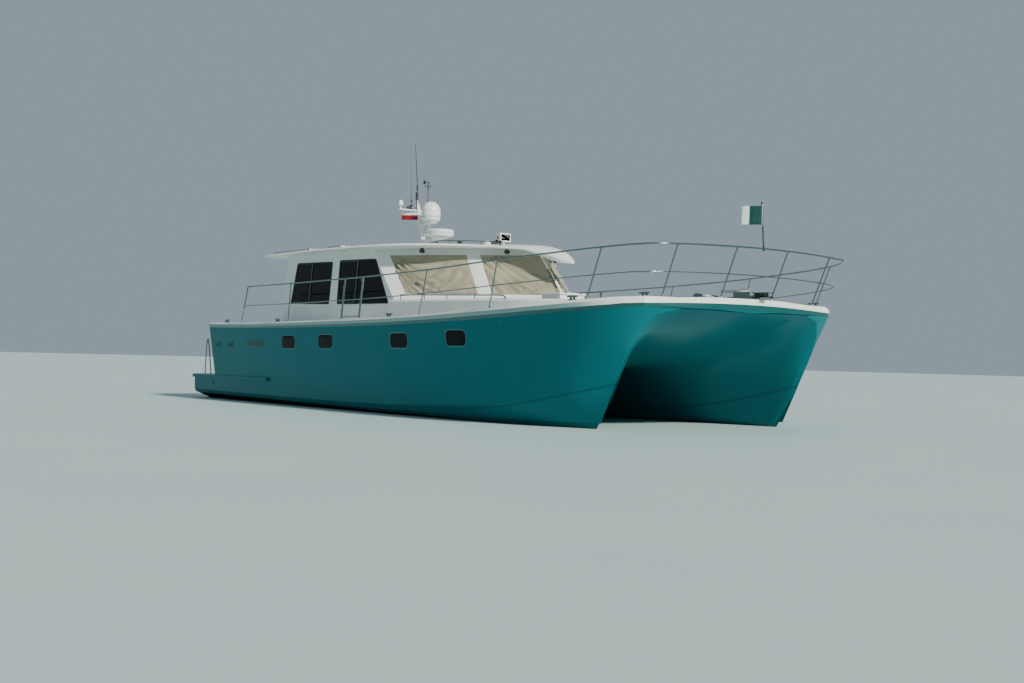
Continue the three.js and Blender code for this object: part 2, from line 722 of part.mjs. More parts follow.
const pad = planPrism(
  [
    [-7690, 1280],
    [-7690, 2850],
    [-7640, 2910],
    [TRANSOM_FOOT_X - 12, 2910],
    [TRANSOM_FOOT_X - 12, 1280],
  ],
  PLATFORM_Z + GAP,
  PLATFORM_Z + 12,
);
const stairs = union([
  pad,
  sidePrism(stairProfile, STAIR_Y[0] + 25, STAIR_Y[1] - GAP),
  sidePrism(cheekProfile, STAIR_Y[0] + GAP, STAIR_Y[0] + CHEEK + 12),
  sidePrism(cheekProfile, STAIR_Y[1] - CHEEK, STAIR_Y[1] - GAP),
]);
addPair("transom_stairs", stairs, "white");

// Bathing platform handrails
const HANDRAIL = { x0: -7283, x1: -6939, y: 2800, top: 1385, r: 14 };
const HANDRAIL_CURVE = [
  // share of the way from the after to the forward leg, height
  [0, PLATFORM_Z + 12 + GAP],
  [0.13, 1080],
  [0.2, 1290],
  [0.28, HANDRAIL.top - 12],
  [0.4, HANDRAIL.top - 12],
  [0.5, 1290],
  [0.66, 1080],
  [1, PLATFORM_Z + 12 + GAP],
];
const handrail = tube(
  HANDRAIL_CURVE.map(([t, z]) => [HANDRAIL.x0 + t * (HANDRAIL.x1 - HANDRAIL.x0), HANDRAIL.y, z]),
  HANDRAIL.r,
  18,
);
const belowPad = box(-7400, -6500, 2600, 3000, 0, PLATFORM_Z + 12 + GAP);
addPair("platform_rail", handrail.subtract(belowPad), "steel");

// Hatch lids. Engine room lids hinge at their forward edge, trunk lids likewise.
const LID_CLEARANCE = 6;
const engineLid = box(
  HATCH_X[0] + LID_CLEARANCE,
  HATCH_X[1] - LID_CLEARANCE,
  ENGINE_ROOM.y0 + LID_CLEARANCE,
  ENGINE_ROOM.y1 - LID_CLEARANCE,
  LID_SEAT_Z + GAP,
  1765,
);
addPair("engine_hatch", engineLid, "white");
const squareLid = (h, half, thick) => {
  return box(h.x - half, h.x + half, h.y - half, h.y + half, h.z + GAP, h.z + thick);
};
addPair("trunk_hatch", squareLid(TRUNK_HATCH, 290, 30), "glass");
add("roof_hatch", squareLid(ROOF_HATCH, 300, 35), "white");

// Engines on their beds
const ENGINE = { x0: -5200, x1: -3950, half: 330, z0: GAP, z1: 820 };
const engineBlock = box(
  ENGINE.x0,
  ENGINE.x1,
  HULL_Y - ENGINE.half,
  HULL_Y + ENGINE.half,
  ENGINE.z0,
  ENGINE.z1,
);
addPair("engine", engineBlock, "engine");

// Running gear: shaft and propeller, its bracket, and the rudder
const SHAFT_Z = -600;
const SHAFT_R = 22;
const PROP_X = -6180;
const PROP_R = 260;
const BLADES = 4;
const BLADE_PITCH = 35; // degrees from the disc's plane
const BLADE_THICKNESS = 14;
// A blade's outline: distance from the shaft's axis and from the blade's own axis
const BLADE = [
  [40, -50],
  [110, -95],
  [190, -105],
  [245, -65],
  [PROP_R, 0],
  [245, 65],
  [190, 105],
  [110, 95],
  [40, 50],
];
let prop = rod([KEEL_AFT_X - GAP, 0, 0], [PROP_X - 40, 0, 0], SHAFT_R, SHAFT_R, 12);
prop = prop.add(rod([PROP_X + 75, 0, 0], [PROP_X - 70, 0, 0], 62, 50, 12));
prop = prop.add(rod([PROP_X - 70, 0, 0], [PROP_X - 140, 0, 0], 42, 12, 12));
const pitch = (BLADE_PITCH * Math.PI) / 180;
const blade = plate(
  BLADE.map(([r, c]) => [c * Math.sin(pitch), c * Math.cos(pitch), r]),
  -BLADE_THICKNESS / 2,
  BLADE_THICKNESS / 2,
);
for (let k = 0; k < BLADES; k++) {
  const turnedBlade = geometryOf(blade).rotateX((k * 2 * Math.PI) / BLADES);
  prop = prop.add(solid(turnedBlade.translate(PROP_X, 0, 0)));
}
addPair("propeller", moved(prop, 0, HULL_Y, SHAFT_Z), "bronze");

const BRACKET_X = -5900;
const BORE_R = SHAFT_R + 3;
const strut = sidePrism(
  [
    [BRACKET_X - 55, SHAFT_Z],
    [BRACKET_X + 55, SHAFT_Z],
    [BRACKET_X + 85, -200],
    [BRACKET_X - 45, -200],
  ],
  HULL_Y - 11,
  HULL_Y + 11,
);
const alongShaft = (reach, r, sides) => {
  return rod([BRACKET_X - reach, HULL_Y, SHAFT_Z], [BRACKET_X + reach, HULL_Y, SHAFT_Z], r, r, sides);
};
const bracket = strut.add(alongShaft(75, 42, 12)).subtract(alongShaft(200, BORE_R, 16));
addPair("shaft_bracket", biggest(clearOf(bracket, hull)), "bronze");

const RUDDER_SECTIONS = [
  // z, chord, thickness
  [-290, 430, 52],
  [-600, 400, 44],
  [-840, 320, 30],
];
const rudderBlade = loft(
  RUDDER_SECTIONS.map(([z, chord, thick]) =>
    [
      [0.3, 0],
      [0.12, 0.5],
      [-0.3, 0.34],
      [-0.7, 0.04],
      [-0.7, -0.04],
      [-0.3, -0.34],
      [0.12, -0.5],
    ].map(([c, t]) => [RUDDER_X + c * chord, HULL_Y + t * thick, z]),
  ),
  planUv,
);
const RUDDER_TOP_Z = rowAt(STATIONS, RUDDER_X)[12] - 1;
const rudderStock = rod([RUDDER_X, HULL_Y, -400], [RUDDER_X, HULL_Y, RUDDER_TOP_Z], 22, 22, 12);
addPair("rudder", rudderBlade.add(rudderStock), "bronze");

// Rails
const STANCHIONS = [
  // x, y at the foot, lean forward and outward of the top
  [-5079, RAIL_Y, 292, 0],
  [-2804, RAIL_Y, 88, 0],
  [-534, RAIL_Y, 134, 0],
  [183, RAIL_Y, 142, 0],
  [2333, RAIL_Y, 240, 0],
  [4520, RAIL_Y - 5, 197, 5],
  [6625, 2555, 358, 18],
  [7378, 1679, 358, 18],
  [7511, 564, 358, 0],
];
// Foot point, without a stanchion, that rounds the rail at the corner of the bow
const RAIL_CORNER = { before: 7, x: 7250, y: 2190 };
const RAIL_R = 14;
const STANCHION_R = 13;
const MID_RAIL_R = 10;
const foot = ([x, y]) => [x, y, deckZ(x, y)];
const head = ([x, y, lean, out]) => [x + lean, y + out, deckZ(x, y) + RAIL_HEIGHT];
const between = (a, b, t) => a.map((v, i) => v + t * (b[i] - v));
const otherSide = ([x, y, z]) => [x, -y, z];
const stanchion = (s) => rod(between(foot(s), head(s), -0.03), head(s), STANCHION_R);
const afterStanchions = STANCHIONS.slice(0, 3);
const middle = (s) => between(foot(s), head(s), MID_RAIL);
const afterRail = union([
  ...afterStanchions.map(stanchion),
  tube(afterStanchions.map(head), RAIL_R, 6),
  tube(afterStanchions.map(middle), MID_RAIL_R, 6, 6),
]);
addPair("after_rail", biggest(clearOf(afterRail, deck)), "steel");
const forwardStanchions = STANCHIONS.slice(3);
const railCorner = [RAIL_CORNER.x, RAIL_CORNER.y, 358, 18];
const railFeet = STANCHIONS.toSpliced(RAIL_CORNER.before, 0, railCorner).slice(3);
const roundBow = (point) => {
  const port = railFeet.map(point);
  return [...port, ...port.map(otherSide).reverse()];
};
const forwardRail = union([
  ...forwardStanchions.map(stanchion),
  ...forwardStanchions.map(stanchion).map(mirrored),
  tube(roundBow(head), RAIL_R, 54),
  tube(roundBow(middle), MID_RAIL_R, 48, 6),
]);
add("forward_rail", biggest(clearOf(forwardRail, deck)), "steel");

const GATE_MARGIN = 34; // between the gate's end posts and the stanchions beside it
const [gateAft, gateFore] = STANCHIONS.slice(2, 4);
// The foot and head of a gate's end post, beside a stanchion
function gateEnd([x, ...rest], shift) {
  const post = [x + shift, ...rest];
  return [foot(post), head(post)];
}
const gateA = gateEnd(gateAft, GATE_MARGIN);
const gateB = gateEnd(gateFore, -GATE_MARGIN);
const gateBar = (t, r) => rod(between(...gateA, t), between(...gateB, t), r);
const pin = [foot(gateAft), head(gateAft)]; // the gate turns on the stanchion itself
const KNUCKLES = [0.2, 0.78];
const KNUCKLE_R = 24;
const knuckles = KNUCKLES.flatMap((t) => [
  rod(between(...pin, t - 0.025), between(...pin, t + 0.025), KNUCKLE_R, KNUCKLE_R, 12),
  rod(between(...pin, t), between(...gateA, t), 9),
]);
const gate = union([
  rod(between(...gateA, 0.06), gateA[1], MID_RAIL_R),
  rod(between(...gateB, 0.06), gateB[1], MID_RAIL_R),
  gateBar(0.06, MID_RAIL_R),
  gateBar(MID_RAIL, MID_RAIL_R),
  gateBar(1, RAIL_R),
  ...knuckles,
]).subtract(rod(between(...pin, -0.1), between(...pin, 1.1), STANCHION_R + 1, STANCHION_R + 1, 16));
addPair("gate", gate, "steel");

// Mast with its crosstree, the dome, the radar and the floodlight
const MAST = { foot: [-2160, 0, 3270], head: [-2520, 0, 4380] };
const DOME = { x: -1975, r: 206, z0: 3995, z1: 4435 };
const RADAR = { x: -1610, r: 305, z0: 3648, z1: 3808 };
const CROSSTREE_Z = 4270;
const GPS = [
  // radius, height
  [0, 4350],
  [50, 4355],
  [60, 4400],
  [38, 4460],
  [0, 4478],
];
const mast = union([
  rod(MAST.foot, MAST.head, 62, 42, 10),
  rod([MAST.head[0], 0, 4350], [MAST.head[0] - 190, 0, 5786], 12, 5, 6),
  rod([MAST.head[0] + 20, -480, CROSSTREE_Z], [MAST.head[0] + 20, 480, CROSSTREE_Z], 18),
  rod([MAST.head[0] + 20, -450, CROSSTREE_Z], [MAST.head[0] + 20, -450, 4360], 14),
  turned(GPS, MAST.head[0] + 20, -450, 12),
  rod([MAST.head[0] + 20, 240, CROSSTREE_Z], [MAST.head[0] + 20, 240, 4880], 9, 6, 6),
  box(MAST.foot[0] - 280, DOME.x + 60, -40, 40, DOME.z0 - 50, DOME.z0 - 20),
  rod([DOME.x, 0, DOME.z0 - 25], [DOME.x, 0, DOME.z0 - GAP], 110, 110, 16),
  box(MAST.foot[0] - 180, RADAR.x + 60, -60, 60, RADAR.z0 - 60, RADAR.z0 - 25),
  rod([RADAR.x, 0, RADAR.z0 - 30], [RADAR.x, 0, RADAR.z0 - GAP], 150, 150, 16),
]);
add("mast", biggest(clearOf(mast, roof)), "white");
const domeProfile = [
  [0, DOME.z0],
  [150, DOME.z0],
  [DOME.r - 12, DOME.z0 + 30],
  [DOME.r, DOME.z0 + 90],
  [DOME.r, DOME.z1 - DOME.r],
];
for (let k = 1; k <= 4; k++) {
  const a = (k / 4) * (Math.PI / 2);
  domeProfile.push([k === 4 ? 0 : DOME.r * Math.cos(a), DOME.z1 - DOME.r + DOME.r * Math.sin(a)]);
}
add("satellite_dome", turned(domeProfile, DOME.x, 0, 20), "white");
const radarProfile = [
  [0, RADAR.z0],
  [240, RADAR.z0],
  [RADAR.r - 14, RADAR.z0 + 14],
  [RADAR.r, RADAR.z0 + 34],
  [RADAR.r, RADAR.z1 - 34],
  [RADAR.r - 22, RADAR.z1 - 8],
  [0, RADAR.z1],
];
add("radar", turned(radarProfile, RADAR.x, 0, 24), "white");
const FLOODLIGHT = { x: 750, half: 130, z0: 3410, z1: 3580 };
const floodlight = union([
  box(
    FLOODLIGHT.x - 60,
    FLOODLIGHT.x + 70,
    -FLOODLIGHT.half,
    FLOODLIGHT.half,
    FLOODLIGHT.z0,
    FLOODLIGHT.z1,
  ),
  rod([FLOODLIGHT.x, 0, 3220], [FLOODLIGHT.x, 0, FLOODLIGHT.z0 + 10], 30, 30, 12),
]);
add("floodlight", biggest(clearOf(floodlight, roof)), "white");

// Solar panels on low feet over the after end of the roof
const SOLAR = { x0: -5060, x1: -3430, y0: 130, y1: 2170, lift: 30, thick: 35 };
const solarZ = (y) => 3345 - 0.03 * y + SOLAR.lift;
const solarPlate = loft(
  [SOLAR.y0, SOLAR.y1].map((y) => [
    [SOLAR.x0, y, solarZ(y)],
    [SOLAR.x1, y, solarZ(y)],
    [SOLAR.x1, y, solarZ(y) + SOLAR.thick],
    [SOLAR.x0, y, solarZ(y) + SOLAR.thick],
  ]),
  (p) => [p[0], p[2]],
);
const feet = [];
for (const x of [SOLAR.x0 + 150, SOLAR.x1 - 150]) {
  for (const y of [SOLAR.y0 + 150, SOLAR.y1 - 150]) {
    feet.push(box(x - 30, x + 30, y - 25, y + 25, 3220, solarZ(y) + 8));
  }
}
addPair("solar_panel", biggest(clearOf(union([solarPlate, ...feet]), roof)), "solar");

// Foredeck gear
const WINDLASS = { x: 6600, z: deckZ(6600, 0) };
const windlass = union([
  box(WINDLASS.x - 150, WINDLASS.x + 150, -110, 110, WINDLASS.z - 60, WINDLASS.z + 25),
  rod([WINDLASS.x, -150, WINDLASS.z + 95], [WINDLASS.x, 150, WINDLASS.z + 95], 55, 55, 14),
  box(WINDLASS.x - 70, WINDLASS.x + 70, -70, 70, WINDLASS.z + 20, WINDLASS.z + 140),
  rod([WINDLASS.x, -160, WINDLASS.z + 95], [WINDLASS.x, -110, WINDLASS.z + 95], 80, 62, 14),
]);
add("windlass", biggest(clearOf(windlass, deck)), "galvanised");
const ROLLER = { x0: 7050, z: 2165, y: [0, 280], x1: [7600, 7740] };
const rollerChannel = (x1, y) => [
  box(ROLLER.x0, x1, y - 50, y + 50, ROLLER.z - 8, ROLLER.z + 2),
  box(x1 - 320, x1 + 40, y - 56, y - 48, ROLLER.z - 8, ROLLER.z + 75),
  box(x1 - 320, x1 + 40, y + 48, y + 56, ROLLER.z - 8, ROLLER.z + 75),
  rod([x1, y - 52, ROLLER.z + 36], [x1, y + 52, ROLLER.z + 36], 30, 30, 12),
];
const roller = union([
  ...rollerChannel(ROLLER.x1[0], ROLLER.y[0]),
  ...rollerChannel(ROLLER.x1[1], ROLLER.y[1]),
  box(ROLLER.x0, ROLLER.x0 + 120, -60, 340, ROLLER.z - 90, ROLLER.z - 6),
  box(ROLLER.x0 + 360, ROLLER.x0 + 440, -60, 340, ROLLER.z - 90, ROLLER.z - 6),
]);
add("bow_roller", biggest(clearOf(roller, deck)), "steel");
const ANCHOR = { x0: 6960, x1: 7540, z: ROLLER.z + 75 + GAP };
const anchor = union([
  box(ANCHOR.x0, ANCHOR.x1, -12, 12, ANCHOR.z, ANCHOR.z + 42),
  planPrism(
    [
      [7290, 0],
      [7500, -150],
      [7560, -110],
      [7590, 0],
      [7560, 110],
      [7500, 150],
    ],
    ANCHOR.z,
    ANCHOR.z + 24,
  ),
]);
add("spare_anchor", anchor, "galvanised");

// Flags on their staffs
const STAFF = { x: 7876, top: 3630, z0: head(STANCHIONS[8])[2] + 4 };
const staff = union([
  rod([STAFF.x, 0, STAFF.z0], [STAFF.x - 60, 0, STAFF.top], 13, 11),
  turned([[0, STAFF.top - 5], [22, STAFF.top + 18], [0, STAFF.top + 42]], STAFF.x - 60, 0, 10),
]);
const seatedStaff = biggest(clearOf(staff, forwardRail));
add("flagstaff", seatedStaff, "black");
const FLY = [-0.585, -0.811]; // the way the wind holds the flags out
// A flag that flies from the pole at x: its length is measured from the pole's axis.
function flag(pole, x, z, length, height) {
  const fly = [x + length * FLY[0], length * FLY[1]];
  const cloth = plate([[x, 0, z], [...fly, z], [...fly, z + height], [x, 0, z + height]], -3, 3);
  return biggest(clearOf(cloth, pole));
}
add("bow_flag", flag(seatedStaff, STAFF.x - 40, 3290, 340, 320), "flag");
add("ensign", flag(mast, MAST.head[0] + 75, 4060, 400, 170), "ensign");

// Inside the saloon, seen through its windows
const HELM_Y = -820;
const console = sidePrism(
  [
    [700, SOLE_Z + GAP],
    [1300, SOLE_Z + GAP],
    [1300, 2130],
    [950, 2130],
    [700, 1990],
  ],
  HELM_Y - 350,
  HELM_Y + 350,
);
add("helm_console", console, "white");
const WHEEL = { x: 600, z: 1840, r: 210, hub: 100 - GAP };
const rim = new THREE.TorusGeometry(WHEEL.r, 13, 6, 20).rotateY(Math.PI / 2);
const wheelCentre = [WHEEL.x, HELM_Y, WHEEL.z];
const spokes = [0, 1, 2].map((k) => {
  const a = (k * 2 * Math.PI) / 3;
  return rod(wheelCentre, [WHEEL.x, HELM_Y + WHEEL.r * Math.sin(a), WHEEL.z + WHEEL.r * Math.cos(a)], 10);
});
const wheelHub = rod(
  [WHEEL.x - 20, HELM_Y, WHEEL.z],
  [WHEEL.x + WHEEL.hub, HELM_Y, WHEEL.z],
  30,
  26,
  12,
);
add("steering_wheel", union([solid(rim.translate(...wheelCentre)), ...spokes, wheelHub]), "black");
const SEAT = { x: 30, half: 260 };
const helmSeat = union([
  rod([SEAT.x, HELM_Y, SOLE_Z + GAP], [SEAT.x, HELM_Y, 1640], 60, 60, 12),
  box(SEAT.x - 180, SEAT.x + 180, HELM_Y - 180, HELM_Y + 180, SOLE_Z + GAP, SOLE_Z + 20),
  box(SEAT.x - 240, SEAT.x + 270, HELM_Y - SEAT.half, HELM_Y + SEAT.half, 1620, 1740),
  box(SEAT.x - 270, SEAT.x - 170, HELM_Y - SEAT.half, HELM_Y + SEAT.half, 1700, 2280),
]);
add("helm_seat", helmSeat, "cushion");
const SETTEE = { x0: -4050, x1: -1100, y0: 1180, y1: 1985, seat: 1600, back: 2050, thick: 150 };
const settee = union([
  box(SETTEE.x0, SETTEE.x1, SETTEE.y0, SETTEE.y1, SOLE_Z + GAP, SETTEE.seat),
  box(SETTEE.x0, SETTEE.x1, SETTEE.y1 - SETTEE.thick, SETTEE.y1, SETTEE.seat - 100, SETTEE.back),
  box(SETTEE.x0, SETTEE.x0 + 600, 560, SETTEE.y0 + 10, SOLE_Z + GAP, SETTEE.seat),
]);
add("settee", settee, "cushion");
const TABLE = { x: -2350, y: 740, z: 1875 };
const table = union([
  rod([TABLE.x, TABLE.y, SOLE_Z + GAP], [TABLE.x, TABLE.y, TABLE.z - 25], 50, 50, 12),
  rod([TABLE.x, TABLE.y, SOLE_Z + GAP], [TABLE.x, TABLE.y, SOLE_Z + 25], 220, 220, 16),
  box(TABLE.x - 600, TABLE.x + 600, TABLE.y - 300, TABLE.y + 300, TABLE.z - 35, TABLE.z),
]);
add("saloon_table", table, "wood");
const GALLEY = { x0: -4050, x1: -900, y0: -1985, y1: -1360, z1: 2060 };
add("galley", box(GALLEY.x0, GALLEY.x1, GALLEY.y0, GALLEY.y1, SOLE_Z + GAP, GALLEY.z1), "wood");

export default group;
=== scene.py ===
import math

import bpy
from mathutils import Matrix, Vector
from mathutils.bvhtree import BVHTree


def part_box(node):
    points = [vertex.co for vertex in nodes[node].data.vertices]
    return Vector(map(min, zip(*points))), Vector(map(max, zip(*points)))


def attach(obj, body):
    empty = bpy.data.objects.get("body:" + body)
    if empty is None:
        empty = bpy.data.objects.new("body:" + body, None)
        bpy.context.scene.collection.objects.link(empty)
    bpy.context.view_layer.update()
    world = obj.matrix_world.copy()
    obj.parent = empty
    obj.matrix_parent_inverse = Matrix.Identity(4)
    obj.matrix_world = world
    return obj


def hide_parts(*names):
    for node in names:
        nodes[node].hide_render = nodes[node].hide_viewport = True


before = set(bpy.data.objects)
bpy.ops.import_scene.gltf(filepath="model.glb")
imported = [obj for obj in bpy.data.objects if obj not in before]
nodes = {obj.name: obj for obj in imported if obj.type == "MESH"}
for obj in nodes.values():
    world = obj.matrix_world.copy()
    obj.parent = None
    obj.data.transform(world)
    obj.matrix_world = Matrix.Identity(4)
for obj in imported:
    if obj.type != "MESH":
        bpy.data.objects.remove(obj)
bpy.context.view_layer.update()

# Camera, floor and light
# The camera stands low off the starboard bow, a little below the deck. The floor is a plain
# pale sheet at the waterline, under a bright overcast sky with a soft sun from ahead.
scene = bpy.context.scene
CAMERA_AT = Vector((23.3167, -15.9762, 1.0745))
YAW = 2.517467
PITCH = 0.012740
ROLL = 0.024699
ahead = Vector((math.cos(YAW) * math.cos(PITCH), math.sin(YAW) * math.cos(PITCH), math.sin(PITCH)))
right = Vector((math.sin(YAW), -math.cos(YAW), 0))
up = right.cross(ahead)
tilted_right = right * math.cos(ROLL) + up * math.sin(ROLL)
tilted_up = up * math.cos(ROLL) - right * math.sin(ROLL)
camera_data = bpy.data.cameras.new("camera")
camera_data.sensor_width = 36
camera_data.lens = 48.68
camera_data.clip_end = 600
camera = bpy.data.objects.new("camera", camera_data)
turn = Matrix((tilted_right, tilted_up, -ahead)).transposed().to_4x4()
camera.matrix_world = Matrix.Translation(CAMERA_AT) @ turn
scene.collection.objects.link(camera)
scene.camera = camera


def add_node(tree, kind, settings=None, **inputs):
    """A shader node with its settings and the values of its named inputs."""
    made = tree.nodes.new(kind)
    for key, value in (settings or {}).items():
        setattr(made, key, value)
    for key, value in inputs.items():
        made.inputs[key.replace("_", " ")].default_value = value
    return made


def start_material(name, **shader_inputs):
    """A material with a Principled shader. Returns the material, its tree and the shader."""
    material = bpy.data.materials.new(name)
    material.use_nodes = True
    tree = material.node_tree
    tree.nodes.clear()
    output = tree.nodes.new("ShaderNodeOutputMaterial")
    shader = add_node(tree, "ShaderNodeBsdfPrincipled", **shader_inputs)
    tree.links.new(shader.outputs["BSDF"], output.inputs["Surface"])
    return material, tree, shader


def build(name, vertices, faces, material, smooth_angle=35):
    """A mesh object with one material, smooth where its faces meet at less than the angle."""
    mesh = bpy.data.meshes.new(name)
    mesh.from_pydata([tuple(v) for v in vertices], [], [tuple(f) for f in faces])
    mesh.validate()
    mesh.materials.append(material)
    if smooth_angle:
        mesh.shade_smooth()
        mesh.set_sharp_from_angle(angle=math.radians(smooth_angle))
    piece = bpy.data.objects.new(name, mesh)
    scene.collection.objects.link(piece)
    return piece


floor_material, tree, shader = start_material("pale_floor", Roughness=0.55, Specular_IOR_Level=0.25)
place = tree.nodes.new("ShaderNodeTexCoord")
cloud = add_node(tree, "ShaderNodeTexNoise", Scale=0.35, Detail=4.0, Roughness=0.5)
tint = add_node(tree, "ShaderNodeValToRGB")
tint.color_ramp.elements[0].color = (0.42, 0.575, 0.56, 1)
tint.color_ramp.elements[1].color = (0.45, 0.605, 0.585, 1)
tree.links.new(place.outputs["Object"], cloud.inputs["Vector"])
tree.links.new(cloud.outputs["Fac"], tint.inputs["Fac"])
tree.links.new(tint.outputs["Color"], shader.inputs["Base Color"])
FLOOR = 260
corners = [(-FLOOR, -FLOOR, 0), (FLOOR, -FLOOR, 0), (FLOOR, FLOOR, 0), (-FLOOR, FLOOR, 0)]
floor = build("floor", corners, [(0, 1, 2, 3)], floor_material, smooth_angle=0)

world = bpy.data.worlds.new("overcast")
world.use_nodes = True
sky = world.node_tree.nodes["Background"]
sky.inputs["Color"].default_value = (0.66, 0.81, 0.95, 1)
sky.inputs["Strength"].default_value = 0.42
scene.world = world

SUN_FROM = Vector((0.90, 0.12, 0.60))
sun_data = bpy.data.lights.new("sun", "SUN")
sun_data.energy = 5.2
sun_data.angle = 0.09
sun_data.color = (1.0, 0.95, 0.87)
sun = bpy.data.objects.new("sun", sun_data)
sun.rotation_euler = SUN_FROM.to_track_quat("Z", "Y").to_euler()
scene.collection.objects.link(sun)

# Hulls
# The two slim hulls and the bridgedeck between them are one glass-fibre moulding, sprayed with
# gloss enamel down to the boot line and with matt antifouling paint below it.


def start_group(name, inputs, outputs):
    """A shader node group. Its inputs are a name and a value, its outputs a name and a kind."""
    group = bpy.data.node_groups.new(name, "ShaderNodeTree")
    for label, value in inputs:
        kind = "NodeSocketColor" if isinstance(value, tuple) else "NodeSocketFloat"
        group.interface.new_socket(label, in_out="INPUT", socket_type=kind).default_value = value
    for label, kind in outputs:
        group.interface.new_socket(label, in_out="OUTPUT", socket_type=f"NodeSocket{kind}")
    start = group.nodes.new("NodeGroupInput").outputs
    return group, start, group.nodes.new("NodeGroupOutput").inputs


def feed(tree, socket, value):
    """Links a shader value to a socket, or sets a number or a colour there."""
    if isinstance(value, Value):
        value = value.socket
    if isinstance(value, bpy.types.NodeSocket):
        tree.links.new(value, socket)
    elif value is not None:
        socket.default_value = (*value, 1) if isinstance(value, tuple) else value


class Value:
    """A shader number. Sums and products of it make the math nodes that work them out."""

    def __init__(self, tree, socket):
        self.tree = tree
        self.socket = socket

    def math(self, operation, a, b=None):
        made = add_node(self.tree, "ShaderNodeMath", {"operation": operation})
        feed(self.tree, made.inputs[0], a)
        feed(self.tree, made.inputs[1], b)
        return Value(self.tree, made.outputs["Value"])

    def __add__(self, other):
        return self.math("ADD", self, other)

    def __sub__(self, other):
        return self.math("SUBTRACT", self, other)

    def __rsub__(self, other):
        return self.math("SUBTRACT", other, self)

    def __mul__(self, other):
        return self.math("MULTIPLY", self, other)

    def __abs__(self):
        return self.math("ABSOLUTE", self)

    def at_least(self, other):
        return self.math("MAXIMUM", self, other)

    def above(self, low, high):
        """0 below low, 1 above high and a smooth step between."""
        made = add_node(self.tree, "ShaderNodeMapRange", {"interpolation_type": "SMOOTHSTEP"})
        made.inputs["From Min"].default_value = low
        made.inputs["From Max"].default_value = high
        self.tree.links.new(self.socket, made.inputs["Value"])
        return Value(self.tree, made.outputs["Result"])

    def between(self, low, high, step=0.002):
        """1 from low to high, with a narrow step at each."""
        return self.above(low, low + step) - self.above(high, high + step)


def mix_colors(tree, share, a, b):
    """A colour mix fed by values, sockets or colours."""
    made = add_node(tree, "ShaderNodeMix", {"data_type": "RGBA"})
    for index, value in ((0, share), (6, a), (7, b)):
        feed(tree, made.inputs[index], value)
    return made.outputs[2]


def noise(tree, vector, scale, detail=3.0, roughness=0.55):
    made = add_node(tree, "ShaderNodeTexNoise", Detail=detail, Roughness=roughness)
    feed(tree, made.inputs["Scale"], scale)
    feed(tree, made.inputs["Vector"], vector)
    return Value(tree, made.outputs["Fac"])


def place_in(tree, kind="Object"):
    return tree.nodes.new("ShaderNodeTexCoord").outputs[kind]


def axes_of(tree, vector):
    """The three parts of a vector, as values."""
    made = tree.nodes.new("ShaderNodeSeparateXYZ")
    tree.links.new(vector, made.inputs["Vector"])
    return [Value(tree, made.outputs[axis]) for axis in "XYZ"]


def bump(tree, shader, height, strength, depth):
    made = add_node(tree, "ShaderNodeBump", Strength=strength, Distance=depth)
    feed(tree, made.inputs["Height"], height)
    tree.links.new(made.outputs["Normal"], shader.inputs["Normal"])


weather, given, result = start_group(
    "weathering",
    (
        ("Color", (0.5, 0.5, 0.5, 1)),
        ("Stain", (0.3, 0.3, 0.25, 1)),
        ("Mottle", 0.08),
        ("Streaks", 0.1),
        ("Roughness", 0.3),
        ("Grain", 60.0),
    ),
    (("Color", "Color"), ("Roughness", "Float"), ("Height", "Float")),
)
place = place_in(weather)
drawn_down = add_node(weather, "ShaderNodeMapping", Scale=(7.0, 7.0, 0.45))
weather.links.new(place, drawn_down.inputs["Vector"])
patches = noise(weather, place, 0.9, 4.0).above(0.35, 0.7) * given["Mottle"]
runs = noise(weather, drawn_down.outputs["Vector"], 1.0, 5.0, 0.6).above(0.52, 0.78) * given["Streaks"]
mottled = mix_colors(weather, patches, given["Color"], given["Stain"])
dulled = (runs + patches) * 0.5 + given["Roughness"]
dulled.socket.node.use_clamp = True
feed(weather, result["Color"], mix_colors(weather, runs, mottled, given["Stain"]))
feed(weather, result["Roughness"], dulled)
feed(weather, result["Height"], noise(weather, place, given["Grain"], 2.0, 0.5))


def weathered(name, color, stain, roughness, mottle, streaks, grain, height, **shader_inputs):
    """A weathered material, its tree, its shader and its stained colour. The colour is stained in
    mottled patches and in streaks, and its grain stands up by a share of a millimetre."""
    material, tree, shader = start_material(name, **shader_inputs)
    made = tree.nodes.new("ShaderNodeGroup")
    made.node_tree = weather
    looks = {"Mottle": mottle, "Streaks": streaks, "Roughness": roughness, "Grain": grain}
    for key, value in {"Color": (*color, 1), "Stain": (*stain, 1), **looks}.items():
        made.inputs[key].default_value = value
    bump(tree, shader, made.outputs["Height"], height, 0.001)
    tree.links.new(made.outputs["Color"], shader.inputs["Base Color"])
    tree.links.new(made.outputs["Roughness"], shader.inputs["Roughness"])
    return material, tree, shader, made.outputs["Color"]


def plain(*looks, **shader_inputs):
    return weathered(*looks, **shader_inputs)[0]


